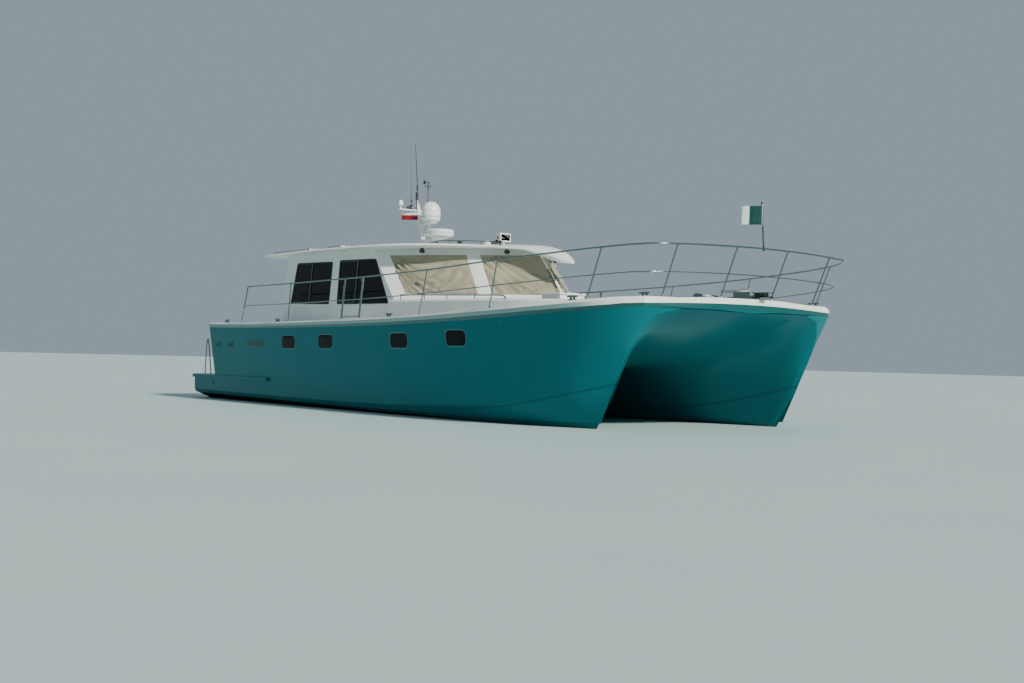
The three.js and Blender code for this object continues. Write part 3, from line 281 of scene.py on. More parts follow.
def rounding_group(name, degrees):
    """Rounds a faceted solid's shading: its triangles are joined at their corners, and only edges
    sharper than the angle stay crisp."""
    group = bpy.data.node_groups.new(name, "GeometryNodeTree")
    for way in ("INPUT", "OUTPUT"):
        group.interface.new_socket("Geometry", in_out=way, socket_type="NodeSocketGeometry")
    start = group.nodes.new("NodeGroupInput")
    end = group.nodes.new("NodeGroupOutput")
    merge = add_node(group, "GeometryNodeMergeByDistance", Distance=0.00005)
    bare = add_node(group, "GeometryNodeRemoveAttribute", Name="custom_normal")
    faces = add_node(group, "GeometryNodeSetShadeSmooth", {"domain": "FACE"}, Shade_Smooth=True)
    edges = add_node(group, "GeometryNodeSetShadeSmooth", {"domain": "EDGE"}, Shade_Smooth=False)
    angle = group.nodes.new("GeometryNodeInputMeshEdgeAngle")
    sharp = add_node(group, "FunctionNodeCompare", {"operation": "GREATER_THAN"})
    sharp.inputs[1].default_value = math.radians(degrees)
    group.links.new(angle.outputs["Unsigned Angle"], sharp.inputs[0])
    group.links.new(sharp.outputs["Result"], edges.inputs["Selection"])
    chain = (start, merge, bare, faces, edges, end)
    for a, b in zip(chain, chain[1:]):
        group.links.new(a.outputs[0], b.inputs[0])
    return group


rounding = {degrees: rounding_group(f"rounding_{degrees}", degrees) for degrees in (22, 38, 60)}
SIDES = ("port", "starboard")


def dress(name, material, degrees=38):
    """Gives a solid of the frame its finish and rounds its shading."""
    nodes[name].material_slots[0].material = material
    nodes[name].modifiers.new("rounding", "NODES").node_group = rounding[degrees]


def dress_pair(name, material, degrees=38):
    for side in SIDES:
        dress(f"{name}_{side}", material, degrees)


GELCOAT = (0.80, 0.84, 0.82)
ANTIFOULING = (0.012, 0.014, 0.017)
hull_paint, tree, shader, enamelled = weathered(
    "teal_enamel", (0.0, 0.150, 0.176), (0.002, 0.175, 0.19), 0.2, 0.35, 0.12, 4.0, 0.03,
    Specular_IOR_Level=0.07, Coat_Roughness=0.08,
)
place = place_in(tree)
x, y, z = axes_of(tree, place)
# The boot line rises aft, because the boat trims a little by the bow.
above_boot = z + x * 0.009
enamel = above_boot.above(0.052, 0.056)
slime = noise(tree, place, 5.0, 5.0, 0.7) * 0.8
wetted = mix_colors(tree, slime, ANTIFOULING, (0.03, 0.045, 0.035))
# A faint scum line has dried on the enamel just above the water.
scum = 1 - (above_boot + noise(tree, place, 3.0) * -0.12).above(-0.02, 0.09)
film = mix_colors(tree, scum * 0.45, enamelled, (0.05, 0.16, 0.12))
# The bow's spray knuckle: a crease that starts amidships at the boot line and sweeps up to the
# stem, with a painted shade line just above its edge.
forward = (x - 3.0).at_least(0.0)
over_crease = z - 0.17 - forward * (forward * 0.0352 + 0.0096)
crease_shade_band = over_crease.above(-0.004, 0.004) - over_crease.above(0.008, 0.05)
with_crease_shade = mix_colors(tree, crease_shade_band * x.above(2.2, 4.4) * 0.45, film, (0.0, 0.045, 0.055))
# The wells of the transom stairs and the engine rooms under the after hatches are white inside.
well = abs(y).between(1.492, 2.146) * (1 - x.above(-5.388, -5.384)) * z.above(0.546, 0.548)
room = abs(y).between(1.632, 2.466) * x.between(-5.338, -3.594) * z.above(0.10, 0.102)
moulded = mix_colors(tree, well.at_least(room), with_crease_shade, GELCOAT)
feed(tree, shader.inputs["Base Color"], mix_colors(tree, enamel, wetted, moulded))
feed(tree, shader.inputs["Roughness"], 0.75 - enamel * 0.53 + scum * 0.12)
feed(tree, shader.inputs["Coat Weight"], enamel * 0.04)
dress_pair("hull", hull_paint, 22)
dress("bridgedeck", hull_paint, 22)


def surface_of(*names):
    """A tree for ray casts on solids of the frame."""
    points = []
    faces = []
    for name in names:
        mesh = nodes[name].data
        start = len(points)
        points += [vertex.co.copy() for vertex in mesh.vertices]
        faces += [tuple(start + i for i in polygon.vertices) for polygon in mesh.polygons]
    return BVHTree.FromPolygons(points, faces)


def onto(tree, start, direction):
    """Where a ray first meets a surface, and the surface's normal there."""
    return tree.ray_cast(Vector(start), Vector(direction).normalized())[:2]


def joined(*parts):
    """One list of points and one of faces from several."""
    points = []
    faces = []
    for part_points, part_faces in parts:
        start = len(points)
        points += [Vector(point) for point in part_points]
        faces += [tuple(start + i for i in face) for face in part_faces]
    return points, faces


def lofted(rings, closed=True, ends=True):
    """A skin over rings of equal counts of points, with its two ends filled."""
    count = len(rings[0])
    points = [Vector(point) for ring in rings for point in ring]
    faces = []
    for row in range(len(rings) - 1):
        for i in range(count if closed else count - 1):
            a = row * count + i
            b = row * count + (i + 1) % count
            faces.append((a, b, b + count, a + count))
    if ends and closed:
        faces.append(tuple(reversed(range(count))))
        faces.append(tuple(range(len(points) - count, len(points))))
    return points, faces


def around(count, start=0.0):
    """Cosine and sine of evenly spaced angles round a circle."""
    angles = [2 * math.pi * k / count + start for k in range(count)]
    return [(math.cos(angle), math.sin(angle)) for angle in angles]


def swept(path, radius, sides=12, flat=1.0, loop=False):
    """A round bar along a path. Its section may be flattened along the path's own up."""
    path = [Vector(point) for point in path]
    radii = radius if isinstance(radius, (list, tuple)) else [radius] * len(path)
    rings = []
    side = None
    for i, point in enumerate(path):
        before = path[i - 1] if i or loop else point
        after = path[(i + 1) % len(path)] if i < len(path) - 1 or loop else point
        along = (after - before).normalized()
        if side is None:
            guide = Vector((0, 0, 1)) if abs(along.z) < 0.9 else Vector((1, 0, 0))
            side = along.cross(guide).normalized()
        side = (side - along * side.dot(along)).normalized()
        rise = side.cross(along)
        rings.append([point + (side * a + rise * b * flat) * radii[i] for a, b in around(sides)])
    if loop:
        rings.append(rings[0])
    return lofted(rings, ends=not loop)


def turned(profile, at, axis=(0, 0, 1), sides=24):
    """A lathe-turned form. Its profile is pairs of radius and height along the axis, in mm."""
    spin = Vector(axis).normalized().to_track_quat("Z", "Y").to_matrix()
    rings = []
    for radius, height in profile:
        radius /= 1000
        height /= 1000
        rings.append([Vector(at) + spin @ Vector((a * radius, b * radius, height)) for a, b in around(sides)])
    return lofted(rings)


def rounded_outline(width, height, radius, steps=6):
    """A rectangle about the origin with round corners, as pairs."""
    outline = []
    for turn, (sx, sy) in enumerate(((1, 1), (-1, 1), (-1, -1), (1, -1))):
        for k in range(steps + 1):
            angle = math.pi / 2 * (turn + k / steps)
            x = sx * (width / 2 - radius) + math.cos(angle) * radius
            y = sy * (height / 2 - radius) + math.sin(angle) * radius
            outline.append((x, y))
    return outline


def level_at(x, y, z):
    """Puts a flat piece's points in the boat, about a point."""
    return lambda a, b, height: Vector((x + a, y + b, z + height))


def layered(width, length, radius, layers, put, steps=6, least=None):
    """A thin piece with round corners. Its layers are pairs of inset and height in mm. The corners
    keep their radius, unless a least radius is given: then each layer's inset comes off it."""
    rings = []
    for inset, height in layers:
        inset /= 1000
        corner = radius if least is None else max(radius - inset, least)
        outline = rounded_outline(width - 2 * inset, length - 2 * inset, corner, steps)
        rings.append([put(a, b, height / 1000) for a, b in outline])
    return lofted(rings)


def slab(lo, hi, edge=0.004):
    """A block with eased edges."""
    lo = Vector(lo)
    hi = Vector(hi)
    size = hi - lo
    middle = (lo + hi) / 2
    edge = min(edge, min(size) * 0.45)
    rings = [(edge, 0), (edge * 0.3, edge * 0.3), (0, edge)]
    rings += [(inset, size.z - height) for inset, height in reversed(rings)]
    loops = []
    for inset, height in rings:
        corner = max(edge - inset * 0.5, 0.0005)
        outline = rounded_outline(size.x - 2 * inset, size.y - 2 * inset, corner, 3)
        loops.append([Vector((middle.x + x, middle.y + y, lo.z + height)) for x, y in outline])
    return lofted(loops)


def moved(part, matrix):
    return [matrix @ Vector(point) for point in part[0]], part[1]


def mirrored(part):
    """The same part on the other side of the centreline."""
    points = [Vector((point[0], -point[1], point[2])) for point in part[0]]
    return points, [tuple(reversed(face)) for face in part[1]]


def fit(name, parts, material, body="boat", side="port", smooth_angle=35):
    """A piece that rides on a body of the boat, made of one part or a list of them. They are
    drawn to port: starboard mirrors them, and both has them on the two sides."""
    part = joined(*parts) if isinstance(parts, list) else parts
    if side == "starboard":
        part = mirrored(part)
    elif side == "both":
        part = joined(part, mirrored(part))
    piece = build(name, *part, material, smooth_angle)
    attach(piece, body)
    return piece


# Hull fittings: portlights of black acrylic in thin painted flanges, a louvred engine-room vent
# with two oval outlets abaft it, scuppers and a shore-side drain.
hull_surface = surface_of("hull_port", "hull_starboard", "bridgedeck")
PORTLIGHTS = ((-2.575, 1.315), (-0.974, 1.332), (1.803, 1.362), (3.625, 1.411))
PORTLIGHT_SIZE = (0.60, 0.272)
RIM = 0.012
VENT_X, VENT_Z, VENT_LONG, VENT_HIGH = -4.17, 1.28, 0.80, 0.14
LOUVRES = 5
OUTLETS = ((-6.124, 1.245), (-5.458, 1.249))
OUTLET_HOLES = [(x + 0.07 * k, z) for x, z in OUTLETS for k in (-1, 0, 1)]


def beside(x, z, out=0.0):
    """A point on the starboard topside, stood off along the surface's normal."""
    point, normal = onto(hull_surface, (x, -5, z), (0, 1, 0))
    if normal.y > 0:
        normal = -normal
    return point + normal * out


def flange(x, z, outline, width, proud):
    """A ring on the topside: a half-round section along an outline of pairs."""
    section = ((-0.5, -0.02), (-0.5, 0.4), (-0.3, 0.85), (0, 1.0), (0.3, 0.85), (0.5, 0.4), (0.5, -0.02))
    rings = []
    for i, (a, b) in enumerate(outline):
        run = (Vector(outline[(i + 1) % len(outline)]) - Vector(outline[i - 1])).normalized()
        away = Vector((run.y, -run.x)) * width
        spots = [(Vector((a, b)) + away * share, proud * height) for share, height in section]
        rings.append([beside(x + spot.x, z + spot.y, height) for spot, height in spots])
    return lofted([*rings, rings[0]], ends=False)


def pane(x, z, outline, out, dome=0.0):
    """A sheet on the topside inside an outline, crowned a little."""
    rings = []
    for share in (1.0, 0.8, 0.5, 0.02):
        height = out + dome * (1 - share * share)
        rings.append([beside(x + a * share, z + b * share, height) for a, b in reversed(outline)])
    return lofted(rings)


def oval(width, height, steps=28):
    return [(a * width / 2, b * height / 2) for a, b in around(steps)]


GELCOAT_LOOKS = (GELCOAT, (0.55, 0.56, 0.48), 0.22, 0.16, 0.22, 90.0, 0.015)
gelcoat = plain("white_gelcoat", *GELCOAT_LOOKS, Coat_Weight=0.3, Coat_Roughness=0.1)
rim_teal = plain("teal_rim", (0.02, 0.20, 0.20), (0.02, 0.12, 0.11), 0.35, 0.3, 0.3, 120.0, 0.02)
black_acrylic = plain(
    "black_acrylic", (0.004, 0.006, 0.007), (0.014, 0.016, 0.016), 0.08, 0.12, 0.15, 30.0, 0.004,
    Specular_IOR_Level=0.06,
)
black_moulding = plain(
    "black_moulding", (0.018, 0.018, 0.019), (0.10, 0.10, 0.09), 0.45, 0.35, 0.2, 240.0, 0.08
)
teal_moulding = plain(
    "teal_moulding", (0.018, 0.125, 0.11), (0.02, 0.05, 0.045), 0.4, 0.3, 0.3, 80.0, 0.02
)
rim_outline = rounded_outline(PORTLIGHT_SIZE[0] + RIM, PORTLIGHT_SIZE[1] + RIM, 0.106)
rims = [flange(x, z, rim_outline, 0.022, 0.007) for x, z in PORTLIGHTS]
fit("portlight_rims", rims, rim_teal, side="both")
lights = [pane(x, z, rounded_outline(*PORTLIGHT_SIZE, 0.10), 0.003, 0.004) for x, z in PORTLIGHTS]
fit("portlight_panes", lights, black_acrylic, side="both")

slats = [flange(VENT_X, VENT_Z, rounded_outline(VENT_LONG, VENT_HIGH, 0.012, 3), 0.022, 0.006)]
SLAT = ((-0.011, 0.0), (-0.011, 0.009), (-0.006, 0.010), (0.010, 0.002), (0.010, 0.0))
for k in range(LOUVRES):
    z = VENT_Z + VENT_HIGH * ((k + 0.5) / LOUVRES - 0.5)
    xs = [VENT_X + (VENT_LONG - 0.02) * (share / 8 - 0.5) for share in range(9)]
    slats.append(lofted([[beside(x, z + dz, out) for dz, out in SLAT] for x in xs]))
fit("engine_room_vents", slats, teal_moulding, side="both")
outlets = []
for x, z in OUTLETS:
    outlets.append(flange(x, z, oval(0.34, 0.17), 0.02, 0.007))
    outlets += [flange(x + 0.07 * k, z, oval(0.045, 0.08), 0.012, 0.005) for k in (-1, 0, 1)]
fit("transom_outlets", outlets, teal_moulding, side="both")
grilles = [pane(x, z, oval(0.035, 0.07), 0.001) for x, z in OUTLET_HOLES]
fit("outlet_grilles", grilles, black_moulding, side="both")

DRAINS = ((-3.17, 1.568), (4.9, 1.66), (-6.48, 1.50))
drains = [flange(x, z, oval(0.05, 0.035, 20), 0.014, 0.006) for x, z in DRAINS]
drain_holes = [pane(x, z, oval(0.035, 0.0225, 20), 0.0015) for x, z in DRAINS]
drain_holes.append(pane(-6.44, 0.38, rounded_outline(0.10, 0.07, 0.02, 4), 0.004, 0.012))
fit("deck_drains", drains, rim_teal, side="both")
fit("drain_holes", drain_holes, black_moulding, side="both")

# Running gear
# Each hull has a shaft with a four-bladed bronze propeller, a bronze P-bracket and a spade
# rudder. Below the water all of it has a green bloom, and zinc anodes are bolted to it.
bronze = plain(
    "bronze", (0.42, 0.26, 0.11), (0.10, 0.20, 0.14), 0.38, 0.75, 0.3, 45.0, 0.12, Metallic=0.85
)
zinc = plain("zinc", (0.42, 0.43, 0.43), (0.7, 0.7, 0.66), 0.6, 0.8, 0.3, 150.0, 0.3, Metallic=0.6)
rudder_paint = plain(
    "rudder_antifouling", ANTIFOULING, (0.04, 0.06, 0.045), 0.75, 0.8, 0.5, 80.0, 0.15
)
SHAFT_Z = -0.6
PROPELLER_X = -6.18
BRACKET_X = -5.90
RUDDER_X = -6.76
HULL_Y = 2.05
BLADE_PITCH = math.radians(35)
# A blade's root: height over the shaft's middle, half thickness and half chord.
BLADE_ROOT = (
    (0.05, 0.026, 0.068),
    (0.066, 0.017, 0.066),
    (0.085, 0.011, 0.072),
    (0.11, 0.0082, 0.082),
)
for side, sign in (("port", 1), ("starboard", -1)):
    dress(f"propeller_{side}", bronze)
    dress(f"shaft_bracket_{side}", bronze)
    dress(f"rudder_{side}", rudder_paint)
    y = sign * HULL_Y
    boss = ((0, 0), (14, 0), (26, 8), (36, 30), (45, 60), (52, 85), (52, 100), (30, 102))
    hub = ((45, 0), (55, 4), (65.5, 70), (66.5, 120), (58, 158), (30, 160))
    hubs = [
        turned(boss, (PROPELLER_X - 0.155, y, SHAFT_Z), (1, 0, 0), 28),
        turned(hub, (PROPELLER_X - 0.078, y, SHAFT_Z), (1, 0, 0), 32),
    ]
    root = []
    for height, thick, chord in BLADE_ROOT:
        ring = []
        for a, b in around(16):
            x = a * chord * math.sin(BLADE_PITCH) + b * thick * math.cos(BLADE_PITCH)
            across = a * chord * math.cos(BLADE_PITCH) - b * thick * math.sin(BLADE_PITCH)
            ring.append(Vector((x, across, height)))
        root.append(ring)
    for k in range(4):
        turn = Matrix.Rotation(k * math.pi / 2, 4, "X")
        hubs.append(moved(lofted(root), Matrix.Translation((PROPELLER_X, y, SHAFT_Z)) @ turn))
    fit(f"propeller_boss_{side}", hubs, bronze, f"propeller_{side}")
    anode = ((22, 0), (34, 3), (45, 18), (48, 40), (45, 62), (34, 77), (22, 80))
    anode = turned(anode, (BRACKET_X + 0.22, y, SHAFT_Z), (1, 0, 0), 28)
    fit(f"shaft_anode_{side}", anode, zinc, f"propeller_{side}")
    plate = ((0, 11), (30, 11), (46, 7), (50, -2), (0, -2))
    plates = [turned(plate, (RUDDER_X, y + out * 0.0215, -0.5), (0, out, 0), 28) for out in (1, -1)]
    fit(f"rudder_anodes_{side}", plates, zinc, f"rudder_{side}")
    stock_top = onto(hull_surface, (RUDDER_X, y, -0.8), (0, 0, 1))[0].z
    gland = ((30, -90), (34, -90), (36, -60), (60, -30), (75, 0), (50, 10), (30, 10))
    gland = turned(gland, (RUDDER_X, y, stock_top), sides=28)
    fit(f"rudder_gland_{side}", gland, bronze)
    palm = []
    for share, height in ((1.0, 0.004), (1.0, -0.006), (0.9, -0.012), (0.45, -0.02), (0.3, -0.05)):
        ring = []
        for a, b in reversed(rounded_outline(0.30 * share, 0.12 * share + 0.012, 0.03 * share)):
            top = onto(hull_surface, (BRACKET_X + 0.02 + a, y + b, -0.55), (0, 0, 1))[0]
            ring.append(top + Vector((0, 0, height)))
        palm.append(ring)
    fit(f"bracket_palm_{side}", lofted(palm), bronze)

# Deck
# One white moulding bonded to the hulls: side decks, foredeck, cabin trunk, and the floor of
# cockpit and saloon. Panels of moulded non-skid leave smooth water channels between them.
# The deck's edge is white above, and its upright outboard faces are tinted mint as a painted
# reflection of the water; the turned-under strip below it is painted with the hull's teal,
# darkened as painted shade.
deck_gelcoat, tree, shader, moulded = weathered(
    "deck_gelcoat", *GELCOAT_LOOKS, Coat_Weight=0.3, Coat_Roughness=0.1
)
faces_up = axes_of(tree, tree.nodes.new("ShaderNodeNewGeometry").outputs["True Normal"])[2]
x, y, z = axes_of(tree, place_in(tree))
# Painted reflection: the edge's upright outboard faces are tinted mint, standing in for the water reflected
# in their shade.
edge = (1 - faces_up.above(0.15, 0.35)) * abs(y).above(2.45, 2.80) * 0.8
with_painted_reflection = mix_colors(tree, edge, moulded, (0.13, 0.33, 0.30))
# Partly the hull's teal paint, partly painted shade: the down-facing turned-under strip takes a teal darker
# than the hull's.
painted = mix_colors(tree, 1 - faces_up.above(-0.10, -0.04), with_painted_reflection, (0.006, 0.11, 0.115))
# Across the bow the hull's paint runs up the lower half of the edge, and tapers away aft.
over_line = z - 2.03 + y * y * 0.0115 + (7.2 - x).at_least(0.0) * 0.11
front = (1 - over_line.above(0.0, 0.004)) * x.above(5.0, 5.1)
feed(tree, shader.inputs["Base Color"], mix_colors(tree, front, painted, (0.0, 0.078, 0.078)))
dress("deck", deck_gelcoat, 22)
deck_surface = surface_of("deck")

nonskid, tree, shader, moulded = weathered(
    "nonskid", (0.66, 0.70, 0.67), (0.42, 0.43, 0.36), 0.6, 0.3, 0.0, 40.0, 0.0
)
pebbles = add_node(tree, "ShaderNodeTexVoronoi", {"feature": "SMOOTH_F1"}, Scale=170.0, Smoothness=0.3)
tree.links.new(place_in(tree), pebbles.inputs["Vector"])
pebbles = Value(tree, pebbles.outputs["Distance"])
bump(tree, shader, pebbles, 0.6, 0.002)
feed(tree, shader.inputs["Base Color"], mix_colors(tree, pebbles * 0.35, moulded, (0.36, 0.38, 0.34)))


def deck_top(x, y, above=2.75):
    point = onto(deck_surface, (x, y, above), (0, 0, -1))[0]
    return point.z if point else 1.7


def edge_y(x):
    """Half-width of the deck moulding at x."""
    for below in (0.06, 0.03):
        z = deck_top(x, 2.3 if x < 6.4 else 1.6) - below
        point = onto(deck_surface, (x, 4.0, z), (0, -1, 0))[0]
        if point is not None and point.y > 1:
            return point.y
    return 2.9


def trunk_half(x):
    """Half-width of the cabin trunk's foot."""
    z = deck_top(x, 2.62 if x < 4.5 else 2.3) + 0.09
    point = onto(deck_surface, (x, 3.2, z), (0, -1, 0))[0]
    return point.y if point else 0.6


def panel(x0, x1, inner, outer, rows=6, columns=12, above=2.9, lift=0.0025, corner=0.06):
    """A thin panel laid on the deck between two curves of y, its four corners rounded."""
    grid = []
    for i in range(columns + 1):
        x = x0 + (x1 - x0) * i / columns
        near = min(x - x0, x1 - x)
        pinch = 0.0
        if near < corner:
            pinch = corner - math.sqrt(max(corner ** 2 - (corner - near) ** 2, 0))
        a = inner(x) + pinch
        b = outer(x) - pinch
        grid += [(x, a + (b - a) * j / rows) for j in range(rows + 1)]
    points = []
    for layer in (lift, -0.004):
        points += [Vector((x, y, deck_top(x, y, above) + layer)) for x, y in grid]
    width = rows + 1
    count = len(grid)
    faces = []
    for i in range(columns):
        for a in range(i * width, i * width + rows):
            faces.append((a, a + width, a + width + 1, a + 1))
    rim = [i * width for i in range(columns + 1)]
    rim += [columns * width + j for j in range(1, width)]
    rim += [i * width + rows for i in range(columns - 1, -1, -1)]
    rim += list(range(rows - 1, 0, -1))
    faces += [(b, a, a + count, b + count) for a, b in zip(rim, rim[1:] + rim[:1])]
    return points, faces


STEPS = range(-64, 76)
EDGE_TABLE = {step: edge_y(step / 10) - 0.24 for step in STEPS}
TRUNK_TABLE = {step: trunk_half(step / 10) + 0.11 if step > 1 else 2.36 for step in STEPS}


def read_from(table):
    """A curve through a table of values 0.1 m apart."""

    def value(x):
        low = math.floor(x * 10)
        share = x * 10 - low
        return table[low] * (1 - share) + table[low + 1] * share

    return value


def level(y):
    return lambda x: y


inner_edge = read_from(TRUNK_TABLE)
outer_edge = read_from(EDGE_TABLE)
panels = [
    panel(-6.30, -5.42, level(2.24), outer_edge),
    panel(-5.36, -4.44, level(2.52), outer_edge, rows=3),
    panel(-4.36, -3.72, level(2.36), outer_edge),
    panel(-3.40, -2.90, level(2.36), outer_edge),
    panel(-2.72, -0.62, level(2.36), outer_edge, columns=24),
    panel(-0.44, 0.09, inner_edge, outer_edge),
    panel(0.28, 2.24, inner_edge, outer_edge, columns=24),
    panel(2.42, 4.42, inner_edge, outer_edge, columns=24),
    panel(4.60, 5.25, lambda x: max(inner_edge(x), 0.9), outer_edge, columns=16),
    panel(5.45, 6.22, level(0.05), outer_edge, 12, 16),
    panel(6.28, 6.98, level(0.45), lambda x: outer_edge(x) - 0.1, 8, 14),
    panel(0.42, 3.22, level(0.05), lambda x: trunk_half(x) - 0.18, 10, 20),
]
fit("nonskid_panels", panels, nonskid, side="both")
sole = panel(-5.86, -4.46, level(0.04), level(1.36), 4, 10, above=2.0)
fit("cockpit_nonskid", sole, nonskid, side="both")

# Deck fittings: cast stainless horn cleats, flush fuel and water fillers with their caps, and
# the treads and pads of the bathing platform.
# The steel's dark teal-green colour is a painted reflection of the sea.
steel = plain(
    "polished_stainless", (0.17, 0.25, 0.235), (0.13, 0.15, 0.12), 0.16, 0.25, 0.25, 70.0, 0.02,
    Metallic=1.0,
)
CLEATS = ((7.230, 1.900), (6.380, 2.640), (1.050, 2.780), (-3.570, 2.780), (-6.150, 2.780))
cleats = []
for x, y in CLEATS:
    z = (deck_top(x + 0.16, y) + deck_top(x - 0.16, y)) / 2
    base = ((-4, -10), (-4, 8), (0, 13), (8, 15.5))
    cleats.append(layered(0.186, 0.066, 0.02, base, level_at(x, y, z)))
    for shift in (-0.0425, 0.0425):
        post = ((30, 8), (22, 20), (19, 35), (19, 55), (10, 60))
        cleats.append(turned(post, (x + shift, y, z), sides=20))
    shares = [k / 6 - 1 for k in range(13)]
    horn = [(x + 0.142 * share, y, z + 0.062 + 0.003 * share * share) for share in shares]
    widths = [0.0165 - 0.0025 * share * share for share in shares]
    widths[0] = widths[-1] = 0.006
    cleats.append(swept(horn, widths, 14))
fit("cleats", cleats, steel, side="both")

FILLERS = ((-4.05, 2.62), (-1.9, 2.62), (4.2, 2.4))
caps = []
for x, y in FILLERS:
    z = deck_top(x, y)
    cap = ((46, -4), (46, 2), (42, 4.5), (32, 4.5), (31, 2.5), (0, 3))
    caps.append(turned(cap, (x, y, z), sides=32))
    caps.append(swept([(x - 0.018, y, z + 0.0045), (x + 0.018, y, z + 0.0045)], 0.0035, 8))
fit("filler_caps", caps, steel, side="both")

TREAD = 0.32
RISE = 0.2975
PLATFORM_Z = 0.562
PAD = ((0, -3), (0, 1.5), (3, 2.5))
pads = []
for k in range(3):
    top = level_at(-6.35 + (k + 0.5) * TREAD, 1.82, PLATFORM_Z - 0.012 + (k + 1) * RISE)
    pads.append(layered(TREAD - 0.05, 0.53, 0.03, PAD, top))
for lo_x, hi_x in ((-7.64, -7.02), (-6.98, -6.42)):
    pads.append(layered(hi_x - lo_x, 1.40, 0.06, PAD, level_at((lo_x + hi_x) / 2, 2.04, PLATFORM_Z)))
fit("platform_pads", pads, nonskid, side="both")
dress_pair("transom_stairs", gelcoat)
dress_pair("platform_rail", steel, 60)


def footing(at, up=(0, 0, 1)):
    """A bar's welded foot flange, held by three screws."""
    at = Vector(at)
    spin = Vector(up).normalized().to_track_quat("Z", "Y").to_matrix()
    parts = [turned(((36, -1), (36, 3), (32, 5), (19, 6), (16.5, 12), (14.5, 12.5)), at, up)]
    for a, b in around(3, 0.5):
        spot = at + spin @ Vector((a * 0.027, b * 0.027, 0.0042))
        parts.append(turned(((4.2, -1), (4.2, 1), (2.8, 2.2), (0, 2.4)), spot, up, 10))
    return joined(*parts)


feet = [footing((x, 2.8, PLATFORM_Z)) for x in (-7.2812, -6.951)]
fit("platform_rail_feet", feet, steel, side="both")

# Engines and hatches
# Under each after-deck lid stands a diesel, drawn as its sound box. The lids are foam-cored
# mouldings on rubber seals, with a lift ring aft and a long hinge at the forward edge.
engine_grey = plain(
    "engine_enamel", (0.42, 0.44, 0.43), (0.12, 0.10, 0.08), 0.4, 0.35, 0.3, 150.0, 0.06
)
rubber = plain("rubber", (0.014, 0.014, 0.014), (0.1, 0.1, 0.09), 0.7, 0.3, 0.1, 300.0, 0.08)
LID_AFT = -5.324
LID_FRONT = -4.476
LID_X = (LID_AFT + LID_FRONT) / 2
LID_TOP = 1.765
RING_X = LID_AFT + 0.07
ribs = [slab((-5.08 + k * 0.17, 1.76, 0.815), (-5.03 + k * 0.17, 2.34, 0.834), 0.006) for k in range(7)]
handle = [(-5.0, 1.98, 0.835), (-4.98, 1.98, 0.88), (-4.9, 1.98, 0.885), (-4.88, 1.98, 0.835)]
ribs.append(swept(handle, 0.008, 10))
lid_pad = ((0, -2), (0, 1.5), (3, 2.5))
lid_pad = layered(0.72, 0.68, 0.05, lid_pad, level_at(LID_X, HULL_Y, LID_TOP))
well = ((34, -3), (34, 3), (30, 5), (22, 5), (21, 2), (0, 2.5))
loop = [(RING_X + a * 0.019, HULL_Y + b * 0.019, LID_TOP + 0.0065) for a, b in around(16)]
fittings = [turned(well, (RING_X, HULL_Y, LID_TOP), sides=28), swept(loop, 0.0028, 8, loop=True)]
for y in (1.80, 2.30):
    low = (LID_FRONT - 0.052, y - 0.04, LID_TOP - 0.001)
    fittings.append(slab(low, (LID_FRONT - 0.004, y + 0.04, LID_TOP + 0.0035), 0.002))
    pin = [(LID_FRONT, y - 0.04, LID_TOP + 0.001), (LID_FRONT, y + 0.04, LID_TOP + 0.001)]
    fittings.append(swept(pin, 0.0065, 12))
seal = [(LID_X + a, HULL_Y + b, 1.7095) for a, b in rounded_outline(0.824, 0.784, 0.02, 3)]
seal = swept(seal, 0.0065, 8, flat=0.1, loop=True)
for side in SIDES:
    lid = f"engine_hatch_{side}"
    dress(f"engine_{side}", engine_grey)
    dress(lid, gelcoat)
    fit(f"engine_cover_ribs_{side}", ribs, engine_grey, "boat", side)
    fit(f"engine_hatch_pad_{side}", lid_pad, nonskid, lid, side)
    fit(f"engine_hatch_fittings_{side}", fittings, steel, lid, side)
    fit(f"engine_hatch_seal_{side}", seal, rubber, "boat", side)

# House
# The saloon's sides, windscreen frame and bulkhead are one white moulding. Its four side
# windows are dark tinted glass behind black rubber, each with a sliding half and a bright bar.
dress("house", gelcoat, 22)
dress("bulkhead", gelcoat)
glass = plain(
    "tinted_glass", (0.006, 0.030, 0.036), (0.03, 0.05, 0.05), 0.015, 0.25, 0.15, 8.0, 0.002,
    IOR=1.24, Transmission_Weight=1.0,
)
smoked = plain(
    "smoked_acrylic", (0.035, 0.04, 0.045), (0.10, 0.11, 0.11), 0.04, 0.3, 0.1, 12.0, 0.004,
    IOR=1.49, Transmission_Weight=0.9,
)
for name in ("window_after", "window_forward", "bulkhead_window"):
    dress_pair(name, glass)
dress("saloon_door_glass", glass)

BULKHEAD_X = -4.380
WINDOWS = (
    # corners of the glass as x, z, from the lower after one, then the bar's foot and head
    ((-4.043, 2.172), (-2.364, 2.132), (-2.360, 3.012), (-3.894, 3.040), (-3.224, 2.154), (-3.210, 3.043)),
    ((-2.030, 2.127), (-0.020, 2.106), (-0.640, 3.002), (-2.064, 3.028), (-1.321, 2.121), (-1.307, 3.015)),
)


def softened(corners, radius, steps=5):
    """A closed outline of 2D points with each corner rounded."""
    outline = []
    for i, corner in enumerate(corners):
        corner = Vector(corner)
        before = (Vector(corners[i - 1]) - corner).normalized()
        after = (Vector(corners[(i + 1) % len(corners)]) - corner).normalized()
        start = corner + before * radius
        end = corner + after * radius
        for k in range(steps + 1):
            t = k / steps
            outline.append(start * (1 - t) ** 2 + corner * 2 * t * (1 - t) + end * t * t)
    return outline


